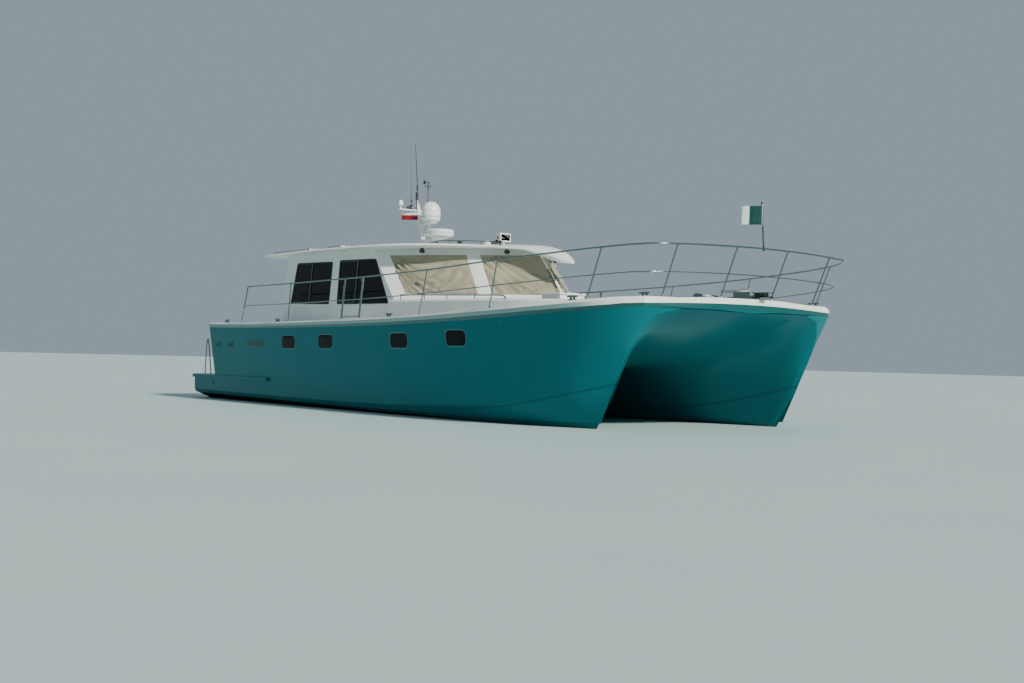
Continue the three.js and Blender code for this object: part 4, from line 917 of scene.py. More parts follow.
def drawn_in(outline, by):
    """An outline moved inwards, or outwards where by is negative."""
    outline = [Vector(point) for point in outline]
    middle = sum(outline, Vector((0, 0))) / len(outline)
    moved_points = []
    for i, point in enumerate(outline):
        run = (outline[(i + 1) % len(outline)] - outline[i - 1]).normalized()
        inwards = Vector((-run.y, run.x))
        if inwards.dot(middle - point) < 0:
            inwards = -inwards
        moved_points.append(point + inwards * by)
    return moved_points


def on_side(point, out=0.0):
    """A point of the house's side, which narrows forward and leans inward."""
    x, z = point
    return Vector((x, 2.2475 - (x - BULKHEAD_X) * 0.021910 - (z - 2.280) * 0.08 + out, z))


def in_plane(plane_x, way):
    """Puts outlines on an upright wall across the boat. Heights stand aft where way is -1."""
    return lambda point, height: Vector((plane_x + way * height, point[0], point[1]))


def drawn_layers(outline, section, put):
    return [[put(point, up / 1000) for point in drawn_in(outline, into / 1000)] for into, up in section]


def moulding(outline, section, put):
    """A closed moulding along an outline. Its section is pairs of inset and height in mm."""
    rings = list(zip(*drawn_layers(outline, section, put)))
    return lofted([*rings, rings[0]], ends=False)


RUBBER = ((-8, -2), (-8, 4), (-3, 6.5), (8, 6), (16, 1), (16, -9), (0, -12))
SLIDER = ((0, -7.5), (0, -1), (8, 0), (18, -1), (18, -7.5))
rubbers = []
bars = []
frames = []
for *corners, bar_foot, bar_head in WINDOWS:
    rubbers.append(moulding(softened(corners, 0.05), RUBBER, on_side))
    bar_run = Vector(bar_head) - Vector(bar_foot)
    ends = [on_side(Vector(bar_foot) + bar_run * share, 0.001) for share in (0.02, 0.97)]
    bars.append(swept(ends, 0.011, 12, flat=0.7))
    # The sliding half stands a little proud in its own slim frame.
    slider = softened(drawn_in([corners[0], bar_foot, bar_head, corners[3]], 0.03), 0.03)
    frames.append(moulding(slider, SLIDER, on_side))
fit("window_rubbers", rubbers, rubber, side="both")
fit("window_bars", bars, steel, side="both")
fit("window_slider_frames", frames, black_moulding, side="both")

# Gutter mouldings run above and below the windows.
gutters = []
for z, x0, x1 in ((3.085, -4.30, -0.45), (2.075, -4.30, -0.02)):
    line = [on_side((x0 + (x1 - x0) * k / 10, z)) for k in range(11)]
    gutters.append(swept(line, [0.003] + [0.007] * 9 + [0.003], 10, flat=0.6))
fit("house_gutters", gutters, gelcoat, side="both")

# The door slides on a track across the cockpit side of the bulkhead.
dress("saloon_door", gelcoat)
HANDLE_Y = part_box("saloon_door")[0][1] + 0.035
HANDLE = ((-4.448, 2.03), (-4.462, 2.06), (-4.464, 2.2), (-4.462, 2.34), (-4.448, 2.37))
pull = [
    swept([(x, HANDLE_Y, z) for x, z in HANDLE], 0.0115, 14),
    slab((-4.432, HANDLE_Y - 0.022, 1.985), (-4.4205, HANDLE_Y + 0.022, 2.055)),
    slab((-4.432, HANDLE_Y - 0.022, 2.345), (-4.4205, HANDLE_Y + 0.022, 2.415)),
    turned(((17, -2), (17, 4), (12, 7), (0, 7)), (-4.4222, HANDLE_Y, 1.93), (-1, 0, 0), 20),
]
fit("saloon_door_handle", pull, steel, "saloon_door")
tracks = [
    slab((-4.438, -0.44, 1.1685), (-4.424, 1.18, 1.178), 0.003),
    slab((-4.4365, -0.44, 3.0175), (-4.425, 1.18, 3.045), 0.003),
]
fit("door_track_lips", tracks, steel)
BEADING = ((-8, -2), (-8, 4), (-3, 6.5), (8, 6), (14, 1), (14, -8))
pane_edge = softened(((0.56, 1.95), (1.33, 1.95), (1.33, 2.90), (0.56, 2.90)), 0.04)
beading = moulding(pane_edge, BEADING, in_plane(-4.378, -1))
fit("bulkhead_window_rubbers", beading, rubber, side="both")
pane_edge = softened(((-0.37, 1.3085), (0.32, 1.3085), (0.32, 2.945), (-0.37, 2.945)), 0.03)
beading = moulding(pane_edge, BEADING, in_plane(-4.422, -1))
fit("saloon_door_beading", beading, rubber, "saloon_door")

# Wipers, one to each forward pane, parked against the centre pillar, and the trunk's grab rails.
# They start from the windscreen's two front faces.
FOOT = ((0.070, 2.150, 2.280), (1.720, 1.081, 2.280), (2.814, 0.0, 2.280))
HEAD = ((-0.680, 2.1024, 3.080), (1.0863, 0.9581, 3.080), (2.056, 0.0, 3.080))


def screen_face(index):
    """A windscreen face's corners from the lower after one round, and its way up and outwards."""
    a, b = Vector(FOOT[index]), Vector(FOOT[index + 1])
    d, c = Vector(HEAD[index]), Vector(HEAD[index + 1])
    along = (b - a).normalized()
    out = along.cross(d - a).normalized()
    if out.z < 0:
        out = -out
    rise = out.cross(along).normalized()
    if rise.z < 0:
        rise = -rise
    return a, b, c, d, rise, out


a, b, c, d, rise, out = screen_face(1)
root = b + (a - b).normalized() * 0.10 + rise * 0.03 + out * 0.03
tip = b + (c - b) * 0.46 + (a - b).normalized() * 0.055 + out * 0.03
arm = [root, root + out * 0.022, root.lerp(tip, 0.3) + out * 0.018, tip + out * 0.012]
low, high = root.lerp(tip, 0.35), root.lerp(tip, 1.45)
bridge = [low.lerp(high, share) + out * lift for share, lift in ((0.2, -0.008), (0.5, 0.008), (0.8, -0.008))]
wipers = [
    swept(arm, [0.012, 0.009, 0.007, 0.006], 10),
    swept([low - out * 0.012, high - out * 0.012], 0.010, 8, flat=0.5),
    swept(bridge, 0.005, 8),
    turned(((30, -35), (30, -10), (24, 0), (0, 4)), root, out, 20),
]
fit("wipers", wipers, black_moulding, side="both")

GRAB_RAIL = (
    (0.38, 2.130, 2.262), (1.20, 2.105, 2.244), (1.92, 2.070, 2.228), (2.74, 2.010, 2.210),
    (3.44, 1.950, 2.194), (3.54, 1.940, 2.182), (3.60, 1.935, 2.150),
)
rail_end = Vector(GRAB_RAIL[-1])
rail_end.z = deck_top(rail_end.x, rail_end.y) - 0.003
grab = [swept([*GRAB_RAIL, rail_end], 0.0125, 14)]
for x, y, z in (*GRAB_RAIL[:4], rail_end):
    top = deck_top(x, y)
    if z > top + 0.01:
        grab.append(swept([(x, y, z), (x, y, top - 0.002)], 0.009, 12))
    grab.append(turned(((26, -4), (26, 3), (15, 6), (9, 7)), (x, y, top), sides=20))
fit("trunk_grab_rails", grab, steel, side="both")

# Windscreen covers
# Four panels of cream acrylic canvas snap over the windscreen from outside. Each has a doubled
# hem with two rows of stitches, and studs in the frame. The after ones hang slack in folds.
weave, given, result = start_group(
    "plain_weave", (("Threads", 900.0),), (("Height", "Float"), ("Shade", "Float"))
)
place = place_in(weave, "UV")
rows = []
for direction in ("X", "Y"):
    bands = {"wave_type": "BANDS", "bands_direction": direction}
    wave = add_node(weave, "ShaderNodeTexWave", bands, Distortion=0.6)
    weave.links.new(place, wave.inputs["Vector"])
    weave.links.new(given["Threads"], wave.inputs["Scale"])
    rows.append(Value(weave, wave.outputs["Fac"]))
over = rows[0].at_least(rows[1])
feed(weave, result["Height"], over)
feed(weave, result["Shade"], over * noise(weave, place, 6.0, 5.0))


def woven(tree, shader, threads, height, depth):
    """Raises a shader's surface in a weave. Returns its shade."""
    made = tree.nodes.new("ShaderNodeGroup")
    made.node_tree = weave
    made.inputs["Threads"].default_value = threads
    bump(tree, shader, made.outputs["Height"], height, depth)
    return Value(tree, made.outputs["Shade"])


def cloth_material(name, color, shade, threads):
    material, tree, shader = start_material(
        name, Roughness=0.85, Sheen_Weight=0.2, Sheen_Roughness=0.5, Specular_IOR_Level=0.25
    )
    cloudy = noise(tree, place_in(tree), 2.2, 5.0).above(0.35, 0.75)
    base = mix_colors(tree, cloudy * 0.3, color, shade)
    # Painted shade darkens the gutters beside the folds.
    gutter = add_node(tree, "ShaderNodeAttribute", {"attribute_name": "gutter"}).outputs["Fac"]
    gutter_shaded = mix_colors(tree, Value(tree, gutter) * 0.8, base, tuple(0.4 * c for c in shade))
    lit = mix_colors(tree, woven(tree, shader, threads, 0.35, 0.0006) * 0.25, gutter_shaded, shade)
    feed(tree, shader.inputs["Base Color"], lit)
    return material


canvas = cloth_material("cream_canvas", (0.39, 0.365, 0.26), (0.26, 0.245, 0.165), 260.0)
thread = cloth_material("hem_thread", (0.50, 0.45, 0.35), (0.36, 0.32, 0.26), 500.0)
COVER_LAP = 0.013
# How far the pane's frame covers its after and forward edge, then its foot and its head.
PILLARS = ((0.330, 0.150), (0.160, 0.070))
FOOT_RAIL = 0.035
HEAD_RAIL = 0.025
CANVAS_THICK = 0.0012


def towards(start, end, by):
    return start + (end - start).normalized() * by


def cover_corners(index):
    """A cover's four corners, with its lap onto the frame, and its way outwards."""
    a, b, c, d, rise, out = screen_face(index)
    after, forward = (reach - COVER_LAP for reach in PILLARS[index])
    low_after, low_forward = towards(a, b, after), towards(b, a, forward)
    high_forward, high_after = towards(c, d, forward), towards(d, c, after)
    low = FOOT_RAIL - COVER_LAP
    high = HEAD_RAIL - COVER_LAP
    return (
        towards(low_after, high_after, low),
        towards(low_forward, high_forward, low),
        towards(high_forward, low_forward, high),
        towards(high_after, low_after, high),
        out,
    )


# Folds of each panel: where each starts and ends across and up it, how deep and how wide it is.
SLACK_FOLDS = (
    (0.01, 0.60, 0.20, 0.07, 0.060, 0.040),
    (0.06, 0.72, 0.31, 0.16, 0.066, 0.046),
    (0.01, 0.40, 0.12, 0.03, 0.050, 0.034),
    (0.14, 0.76, 0.46, 0.26, 0.044, 0.055),
    (0.24, 0.26, 0.72, 0.66, 0.040, 0.060),
    (0.50, 0.10, 0.82, 0.52, 0.034, 0.055),
    (0.05, 0.92, 0.60, 0.70, 0.030, 0.060),
    (0.35, 0.10, 0.90, 0.16, 0.026, 0.050),
)
TAUT_FOLDS = (
    (0.06, 0.84, 0.48, 0.06, 0.056, 0.042),
    (0.20, 0.88, 0.58, 0.14, 0.052, 0.042),
    (0.02, 0.58, 0.18, 0.08, 0.044, 0.038),
    (0.30, 0.94, 0.78, 0.36, 0.034, 0.055),
    (0.50, 0.10, 0.94, 0.14, 0.026, 0.050),
)


def fold_height(u, v, folds, wide, tall):
    """How far the cloth stands out at a share u across and v up, a sum of curved creases, and
    how deep the point lies in the gutter beside one."""
    height = 0.0
    gutter = 0.0
    here = Vector((u * wide, v * tall))
    for u0, v0, u1, v1, deep, width in folds:
        start = Vector((u0 * wide, v0 * tall))
        run = Vector((u1 * wide, v1 * tall)) - start
        t = max(0.0, min(1.0, (here - start).dot(run) / run.length_squared))
        sag = Vector((0, -0.13 * run.length * 4 * t * (1 - t)))
        apart = (here - start - run * t - sag).length / (width * (0.7 + 0.9 * t))
        beside_it = math.exp(-((apart - 1.5) ** 2) * 2.5)
        height += deep * (1 - 0.55 * t) * (math.exp(-apart * apart) - 0.35 * beside_it)
        gutter = max(gutter, beside_it * (1 - 0.4 * t) * deep / 0.06)
    return height, gutter


def sheet_grid(columns, rows):
    """A sheet's points as shares across and up, and its faces."""
    shares = [(i / columns, j / rows) for j in range(rows + 1) for i in range(columns + 1)]
    width = columns + 1
    faces = []
    for j in range(rows):
        for a in range(j * width, j * width + columns):
            faces.append((a, a + 1, a + 1 + width, a + width))
    return shares, faces


def canvas_cover(index, folds):
    """A cover's cloth, its hem and its studs, drawn on the port side."""
    *corners, out = cover_corners(index)
    low_after, low_forward, high_forward, high_after = corners
    wide = ((low_forward - low_after).length + (high_forward - high_after).length) / 2
    tall = ((high_after - low_after).length + (high_forward - low_forward).length) / 2

    def on_cover(u, v, lift):
        return low_after.lerp(low_forward, u).lerp(high_after.lerp(high_forward, u), v) + out * lift

    def on_edge(end, other, t, inset, lift):
        u, v = (a + (b - a) * t for a, b in zip(end, other))
        du, dv = inset / wide, inset / tall
        return on_cover(u * (1 - 2 * du) + du, v * (1 - 2 * dv) + dv, lift)

    points = []
    gutters = []
    shares, faces = sheet_grid(64, 36)
    for u, v in shares:
        edge = min(u * wide, (1 - u) * wide, v * tall, (1 - v) * tall)
        free = min(1.0, edge / 0.04)
        free = free * free * (3 - 2 * free)
        belly = 0.012 * math.sin(math.pi * u) * math.sin(math.pi * v)
        # Between the studs the hem lifts a little.
        scallop = 0.0012 * (1 - free) * math.sin(u * wide / 0.24 * math.pi) ** 2
        height, gutter = fold_height(u, v, folds, wide, tall)
        gutters.append(gutter * free)
        points.append(on_cover(u, v, 0.0042 + scallop + free * max(-0.002, belly + height)))
    hem = []
    studs = []
    stud = ((7.5, -3), (7.5, 1.2), (6, 2.6), (3, 3), (0, 2.6))
    ends = [(0, 0), (1, 0), (1, 1), (0, 1)]
    for end, other in zip(ends, ends[1:] + ends[:1]):
        for inset in (0.012, 0.030):
            line = [on_edge(end, other, k / 24, inset, 0.0058) for k in range(25)]
            hem.append(swept(line, 0.0011, 6))
        count = max(2, round((wide if end[1] == other[1] else tall) / 0.24))
        for k in range(count):
            at = on_edge(end, other, (k + 0.5) / count, 0.021, 0.0052)
            studs.append(turned(stud, at, out, 14))
    along = (low_forward - low_after).normalized()
    flat = []
    for axis in (along, out.cross(along)):
        reach = [corner.dot(axis) for corner in corners]
        flat.append(max(reach) - min(reach))
    return points, faces, [(u * wide, v * tall) for u, v in shares], gutters, hem, studs, flat


def lay_flat(piece, coordinates, thickness):
    """Lays a sheet's flat coordinates, in metres, on its mesh for the weave, and thickens it."""
    layer = piece.data.uv_layers.new(name="flat")
    for loop in piece.data.loops:
        layer.data[loop.index].uv = coordinates[loop.vertex_index]
    modifier = piece.modifiers.new("thickness", "SOLIDIFY")
    modifier.thickness = thickness
    modifier.offset = 0.0


for index, (where, folds) in enumerate((("side", SLACK_FOLDS), ("front", TAUT_FOLDS))):
    for side in SIDES:
        points, faces, coordinates, gutters, hem, studs, flat = canvas_cover(index, folds)
        name = f"canvas_cover_{where}_{side}"
        cover = fit(name, (points, faces), canvas, "boat", side, 60)
        cover.data.attributes.new("gutter", "FLOAT", "POINT").data.foreach_set("value", gutters)
        lay_flat(cover, coordinates, CANVAS_THICK)
        stitches = fit(f"canvas_stitching_{where}_{side}", hem, thread, "boat", side)
        snaps = fit(f"canvas_studs_{where}_{side}", studs, steel, "boat", side)
        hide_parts(f"screen_cover_{where}_{side}")

# Roof
# A moulded roof with a visor forward and a grab edge all round. It carries a hatch, three
# mushroom vents, two domes, horns and two short handrails, with lamps under its edge.
dress("roof", gelcoat, 22)
dress("roof_hatch", gelcoat)
dress_pair("trunk_hatch", smoked)
roof_surface = surface_of("roof")


def roof_top(x, y):
    return onto(roof_surface, (x, y, 4.4), (0, 0, -1))[0].z


def on_roof(x, y):
    return (x, y, roof_top(x, y))


MUSHROOM = (
    (1.15, -12), (1.15, 4), (0.62, 10), (0.58, 30), (1.02, 34), (1.05, 42), (0.85, 58), (0.4, 66), (0, 67),
)
vents = []
for x, y, radius in ((0.69, -1.0, 62), (-0.14, -1.0, 45), (-0.4, 1.0, 62)):
    profile = [(radius * share, height) for share, height in MUSHROOM]
    vents.append(turned(profile, on_roof(x, y), sides=32))
fit("mushroom_vents", vents, black_moulding)
large_dome = ((85, -12), (85, 6), (75, 12), (72, 20), (60, 45), (35, 62), (0, 68))
small_dome = ((65, -12), (65, 6), (55, 12), (50, 35), (30, 50), (0, 54))
domes = [
    turned(large_dome, on_roof(1.27, -0.75), sides=32),
    turned(small_dome, on_roof(1.27, 0.75), sides=32),
]
fit("roof_vent_domes", domes, gelcoat)
HORN = ((8, -130), (10, -60), (13, 0), (22, 50), (36, 75), (34, 76), (15, 40), (0, 35))
horn_z = roof_top(1.30, -0.55) + 0.045
horns = [turned(HORN, (1.30, y, horn_z), (1, 0, 0)) for y in (-0.60, -0.52)]
horns.append(slab((1.16, -0.62, horn_z - 0.055), (1.26, -0.50, horn_z + 0.012), 0.008))
fit("horns", horns, black_moulding)


def along_visor(t):
    return 0.42 + 1.20 * t, 1.52 - 0.86 * t


rail = []
for k in range(13):
    t = k / 12
    x, y = along_visor(t)
    rail.append((x, y, roof_top(x, y) + 0.055 * min(1, 8 * t, 8 * (1 - t)) + 0.002))
rail = [swept(rail, 0.010, 12)]
for t in (0.28, 0.72):
    rail.append(turned(((18, -6), (18, 3), (8, 8), (7, 56)), on_roof(*along_visor(t)), sides=16))
for side in SIDES:
    fit(f"roof_handrail_{side}", rail, steel, "boat", side)

LAMP = ((0, -50), (24, -45), (34, -10), (40, 30), (36, 34), (0, 28))
lamps = []
for x, y in ((0.30, 1.62), (1.70, 0.58)):
    z = onto(roof_surface, (x, y, 2.4), (0, 0, 1))[0].z
    lamps.append(turned(((35, 6), (35, -6), (26, -12), (0, -14)), (x, y, z)))
    for turn, pitch in ((-0.5, 0.5), (0.7, 0.35)):
        aim = Vector((math.cos(turn) * 0.6 + 0.3, math.sin(turn) * 0.7 + 0.5, -pitch)).normalized()
        head_at = Vector((x, y, z - 0.05)) + Vector((aim.x, aim.y, 0)) * 0.03
        lamps.append(turned(LAMP, head_at, aim, 20))
        lamps.append(swept([(x, y, z - 0.008), head_at], 0.008, 8))
fit("soffit_lamps", lamps, black_moulding, side="both")

# Hatches
# The two on the trunk are smoked acrylic in white moulded frames, and the one in the roof is a
# white lid in an aluminium frame. Each has two hinges forward and two lever handles aft.
aluminium = plain(
    "anodised_aluminium", (0.55, 0.57, 0.58), (0.38, 0.38, 0.36), 0.36, 0.4, 0.2, 180.0, 0.05,
    Metallic=0.9,
)


def hatch_frame(x, y, z_low, z_high, half):
    """A square frame round a lid: it covers the lid's edge and returns over its top."""
    section = (
        (2, z_low), (6, z_low), (6, z_high - 0.001), (1, z_high + 0.005), (-28, z_high + 0.005),
        (-32, z_high + 0.0005), (0.5, z_high + 0.0005),
    )
    rings = []
    for a, b in rounded_outline(2 * half, 2 * half, 0.02, 4):
        scales = [(1 + reach / 1000 / half, z) for reach, z in section]
        rings.append([Vector((x + a * scale, y + b * scale, z)) for scale, z in scales])
    return lofted([*rings, rings[0]], ends=False)


def hatch_fittings(hinge_x, lever_x, y, z):
    """Two hinges forward and two levers aft."""
    parts = []
    for at in (y - 0.17, y + 0.17):
        low = (hinge_x - 0.075, at - 0.022, z + 0.001)
        parts.append(slab(low, (hinge_x + 0.002, at + 0.022, z + 0.0075), 0.003))
        parts.append(swept([(hinge_x, at - 0.028, z), (hinge_x, at + 0.028, z)], 0.009, 12))
    z += 0.0005
    for at in (y - 0.15, y + 0.15):
        lever = [(lever_x, at, z + 0.008), (lever_x + 0.03, at, z + 0.011), (lever_x + 0.062, at, z + 0.009)]
        parts.append(turned(((17, -2), (17, 4), (10, 10), (0, 11)), (lever_x, at, z), sides=20))
        parts.append(swept(lever, [0.006, 0.005, 0.0035], 10))
    return parts


for side in SIDES:
    body = f"trunk_hatch_{side}"
    lid_frame = hatch_frame(3.70, 0.75, 2.242, 2.270, 0.29)
    fit(f"trunk_hatch_frame_{side}", lid_frame, gelcoat, body, side)
    parts = hatch_fittings(3.99, 3.47, 0.75, 2.270)
    fit(f"trunk_hatch_fittings_{side}", parts, steel, body, side)
lid_frame = hatch_frame(-2.70, -1.65, 3.344, 3.377, 0.30)
fit("roof_hatch_frame", lid_frame, aluminium, "roof_hatch")
parts = hatch_fittings(-2.40, -2.94, -1.65, 3.377)
fit("roof_hatch_fittings", parts, steel, "roof_hatch")

# Solar panels
# Two framed panels over the after roof, on low feet: dark cells in rows under glass with fine
# bright busbars, and a cable gland at each forward edge.
solar, tree, shader, cells = weathered(
    "solar_cells", (0.008, 0.012, 0.035), (0.10, 0.10, 0.10), 0.2, 0.12, 0.0, 20.0, 0.003,
    Coat_Weight=0.6, Coat_Roughness=0.05,
)


def stripes(value, pitch, width, shift=0.0):
    """1 on thin lines a pitch apart."""
    share = value.math("MODULO", value + (shift + 100 * pitch), pitch)
    share = value.math("DIVIDE", share, pitch)
    return value.math("LESS_THAN", abs(share - 0.5), width / pitch / 2)


CELL = 0.166
x, y, z = axes_of(tree, place_in(tree))
gaps = stripes(x, CELL, 0.006).at_least(stripes(y, CELL, 0.006, 0.05))
busbars = stripes(y, CELL / 4, 0.0016, 0.01)
with_bars = mix_colors(tree, busbars * 0.5, cells, (0.35, 0.36, 0.38))
feed(tree, shader.inputs["Base Color"], mix_colors(tree, gaps * 0.8, with_bars, (0.50, 0.53, 0.56)))
X0, X1, Y0, Y1 = -5.06, -3.43, 0.13, 2.17
MIDDLE = (Y0 + Y1) / 2
FRAME = ((-22, 0.5), (-22, 3), (0, 4), (2.5, 2), (2.5, -36), (-1, -37))
BAR = ((-18, 0), (-18, 3), (18, 3), (18, 0))
# Each bar of the frame: where it starts and ends, its section and how far it runs past.
BARS = (
    ((X0, Y0), (X1, Y0), FRAME, 0.0025),
    ((X1, Y0), (X1, Y1), FRAME, 0.0025),
    ((X1, Y1), (X0, Y1), FRAME, 0.0025),
    ((X0, Y1), (X0, Y0), FRAME, 0.0025),
    ((X0, MIDDLE), (X1, MIDDLE), BAR, 0),
)
trim = []
for a, b, section, past in BARS:
    run = (Vector(b) - Vector(a)).normalized()
    away = Vector((run.y, -run.x))
    rings = []
    for end in (Vector(a) - run * past, Vector(b) + run * past):
        spots = [(end + away * across / 1000, height / 1000) for across, height in section]
        rings.append([Vector((spot.x, spot.y, 3.41 - 0.03 * spot.y + height)) for spot, height in spots])
    trim.append(lofted(rings))
GLAND = ((16, -6), (16, 10), (11, 16), (11, 24), (0, 26))
for side, sign in (("port", 1), ("starboard", -1)):
    dress(f"solar_panel_{side}", solar)
    fit(f"solar_frame_{side}", trim, aluminium, "boat", side)
    x, y, z = on_roof(-3.33, sign * 1.1)
    cable = [(x, y, z + 0.02), (-3.36, y, 3.385), (-3.42, y, 3.365), (-3.5, y, 3.352)]
    gland = [turned(GLAND, (x, y, z), sides=16), swept(cable, 0.005, 10)]
    fit(f"solar_gland_{side}", gland, black_moulding)

# Mast and aerials
# A raked white mast on the roof carries the satellite dome, the radar scanner, a crosstree with
# a position antenna and an anchor light, whip aerials and the wind instrument.
for name, degrees in (("mast", 38), ("satellite_dome", 60), ("radar", 38), ("floodlight", 38)):
    dress(name, gelcoat, degrees)
MAST_FOOT = Vector((-2.160, 0, 3.270))
MAST_HEAD = Vector((-2.520, 0, 4.380))
DOME_X = -1.975
RADAR_X = -1.610
foot = ((125, -10), (125, 8), (110, 14), (72, 20), (66, 50), (62.5, 55))
base_z = roof_top(-2.16, 0.0)
plates = [turned(foot, (-2.165, 0, base_z), sides=32)]
for a, b in around(6):
    at = (-2.165 + a * 0.095, b * 0.095, base_z + 0.008)
    plates.append(turned(((9, 0), (9, 8), (6, 11), (0, 12)), at, sides=12))
cap = ((46, -12), (49, 0), (46, 14), (20, 22), (0, 24))
plates.append(turned(cap, MAST_HEAD, MAST_HEAD - MAST_FOOT, 28))
for radius, x, z in ((130, DOME_X, 3.976), (170, RADAR_X, 3.629)):
    tray = ((0.7, -20), (1, -12), (1, 10), (0.95, 16), (0.6, 16.5))
    plates.append(turned([(radius * share, height) for share, height in tray], (x, 0, z), sides=36))
plates.append(swept([(DOME_X - 0.02, 0, 3.94), (-2.2, 0, 3.74), (-2.27, 0, 3.60)], 0.016))
plates.append(swept([(RADAR_X - 0.02, 0, 3.59), (-1.95, 0, 3.46), (-2.13, 0, 3.36)], 0.018))
fit("mast_plates", plates, gelcoat)
seams = [
    turned(((205, 0), (208.5, 2), (208.5, 10), (205, 12)), (DOME_X, 0, 4.092), sides=64),
    turned(((304, 0), (307, 1), (307, 5), (304, 6)), (RADAR_X, 0, 3.724), sides=64),
]
seam_grey = plain("seal_grey", (0.30, 0.32, 0.32), (0.15, 0.15, 0.14), 0.6, 0.3, 0.1, 200.0, 0.02)
fit("dome_seams", seams, seam_grey)
aerials = [
    swept([(-2.553, 0, 4.72), (-2.567, 0, 4.83)], 0.019, 14),
    swept([(-2.50, -0.046, 4.28), (-2.50, -0.046, 4.50)], 0.010, 10),
    swept([(-2.50, -0.046, 4.50), (-2.50, -0.046, 4.67)], 0.027, 18),
    swept([(-2.5225, 0, 4.52), (-2.6889, 0, 5.778)], [0.0118, 0.0054], 12),
    swept([(-2.50, 0.24, 4.36), (-2.50, 0.24, 4.87)], [0.0098, 0.0068], 12),
    swept([(-2.66, 0.0, 4.27), (-2.80, 0.0, 4.30), (-2.80, 0, 4.52)], 0.008, 10),
    swept([(-2.80, 0, 4.50), (-2.82, 0, 4.84), (-2.88, 0, 5.70)], [0.006, 0.004, 0.0015], 8),
    swept([(-2.50, 0.24, 4.26), (-2.50, 0.24, 4.36)], 0.016, 14),
    turned(((15, 0), (20, 10), (20, 30), (15, 45), (0, 50)), (-2.80, 0, 4.49), sides=16),
]
# The wind instrument: a post with three cups, and a vane above.
post = Vector((-2.50, 0.24, 4.80))
CUP = ((0, -18), (10, -15), (17, -4), (18, 4), (16, 3), (9, -10), (0, -13))
aerials.append(swept([(-2.50, 0.24, 4.74), (-2.50, 0.24, 4.93)], 0.011, 12))
aerials.append(turned(((12, -30), (14, 0), (12, 30), (0, 34)), post, sides=16))
for a, b in around(3, 0.4):
    hub = post + Vector((0, 0, 0.03))
    cup = hub + Vector((a, b, 0)) * 0.055
    aerials.append(swept([hub, cup], 0.0025, 6))
    aerials.append(turned(CUP, cup, (-b, a, 0), 14))
aerials.append(swept([post + Vector((0.06, 0, 0.12)), post + Vector((-0.16, 0, 0.12))], 0.004, 6))
vane = post + Vector((-0.20, -0.002, 0.09)), post + Vector((-0.11, 0.002, 0.17))
aerials.append(slab(*vane, 0.001))
# A loudhailer hangs from the crosstree beside the mast.
hailer = ((20, -50), (28, 0), (34, 30), (62, 80), (60, 82), (20, 40), (0, 35))
aerials.append(turned(hailer, (-2.56, -0.16, 4.36), (-0.5, -0.45, -0.6)))
aerials.append(swept([(-2.50, -0.16, 4.285), (-2.56, -0.16, 4.35)], 0.008, 8))
fit("aerial_fittings", aerials, black_moulding)
lens = plain(
    "clear_lens", (0.75, 0.80, 0.82), (0.6, 0.6, 0.55), 0.08, 0.3, 0.1, 40.0, 0.0,
    IOR=1.49, Transmission_Weight=0.9,
)
anchor_light = turned(((24, 0), (24, 8), (21, 12), (21, 50), (16, 58), (0, 60)), (-2.50, 0.36, 4.288))
fit("anchor_light", anchor_light, lens)
light_base = turned(((28, -12), (28, 0), (25, 4), (0, 4)), (-2.50, 0.36, 4.286))
fit("anchor_light_base", light_base, black_moulding)

# Floodlight
# It faces forward over the windscreen, on a bent steel yoke with a knob at each end: a white
# housing and bezel, and a dark reflector behind a clear lens.
LIGHT = in_plane(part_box("floodlight")[1][0], 1)
square = softened(((-0.125, 3.414), (0.125, 3.414), (0.125, 3.576), (-0.125, 3.576)), 0.012)
bezel = moulding(square, ((-2, -2), (-2, 6), (6, 9), (18, 6), (22, -1)), LIGHT)
fit("floodlight_bezel", bezel, gelcoat)
reflector = lofted(drawn_layers(square, ((20, 0.5), (20, 2), (30, 1), (60, 0.6)), LIGHT))
fit("floodlight_reflector", reflector, black_acrylic)
cover = lofted(drawn_layers(square, ((18, 3), (20, 5.5), (50, 7.5)), LIGHT))
fit("floodlight_lens", cover, lens)
KNOB = ((20, -18), (20, 12), (12, 16), (0, 16))
YOKE = ((-0.142, 3.50), (-0.142, 3.42), (-0.10, 3.388), (0.10, 3.388), (0.142, 3.42), (0.142, 3.50))
yoke = [swept([(0.75, y, z) for y, z in YOKE], 0.008, 10)]
yoke += [turned(KNOB, (0.75, 0.134 * way, 3.50), (0, way, 0), 20) for way in (-1, 1)]
fit("floodlight_yoke", yoke, steel)

# Rails
# Welded stainless tube: stanchions in screwed flanges, a top rail and a thinner middle one, with
# a gate each side that hangs on its after stanchion and drops into a latch on the forward one.
for name in ("after_rail_port", "after_rail_starboard", "forward_rail", "gate_port", "gate_starboard"):
    dress(name, steel, 60)
RAIL_HEIGHT = 0.790
MID_RAIL = 0.47
STANCHIONS = (
    # x, y at the foot, lean forward and outward of the top
    (-5.079, 2.923, 0.292, 0.0),
    (-2.804, 2.923, 0.088, 0.0),
    (-0.534, 2.923, 0.134, 0.0),
    (0.183, 2.923, 0.142, 0.0),
    (2.333, 2.923, 0.240, 0.0),
    (4.520, 2.918, 0.197, 0.005),
    (6.625, 2.555, 0.358, 0.018),
    (7.378, 1.679, 0.358, 0.018),
    (7.511, 0.564, 0.358, 0.0),
)
FOOT_SLEEVE = ((13.5, -10), (17.5, 0), (17.5, 35), (13.5, 40))
HEAD_SLEEVE = ((13.2, -34), (15.5, -16), (16.5, 0))
MID_SLEEVE = ((13.2, -16), (14.8, -10), (14.8, 10), (13.2, 16))
flanges = []
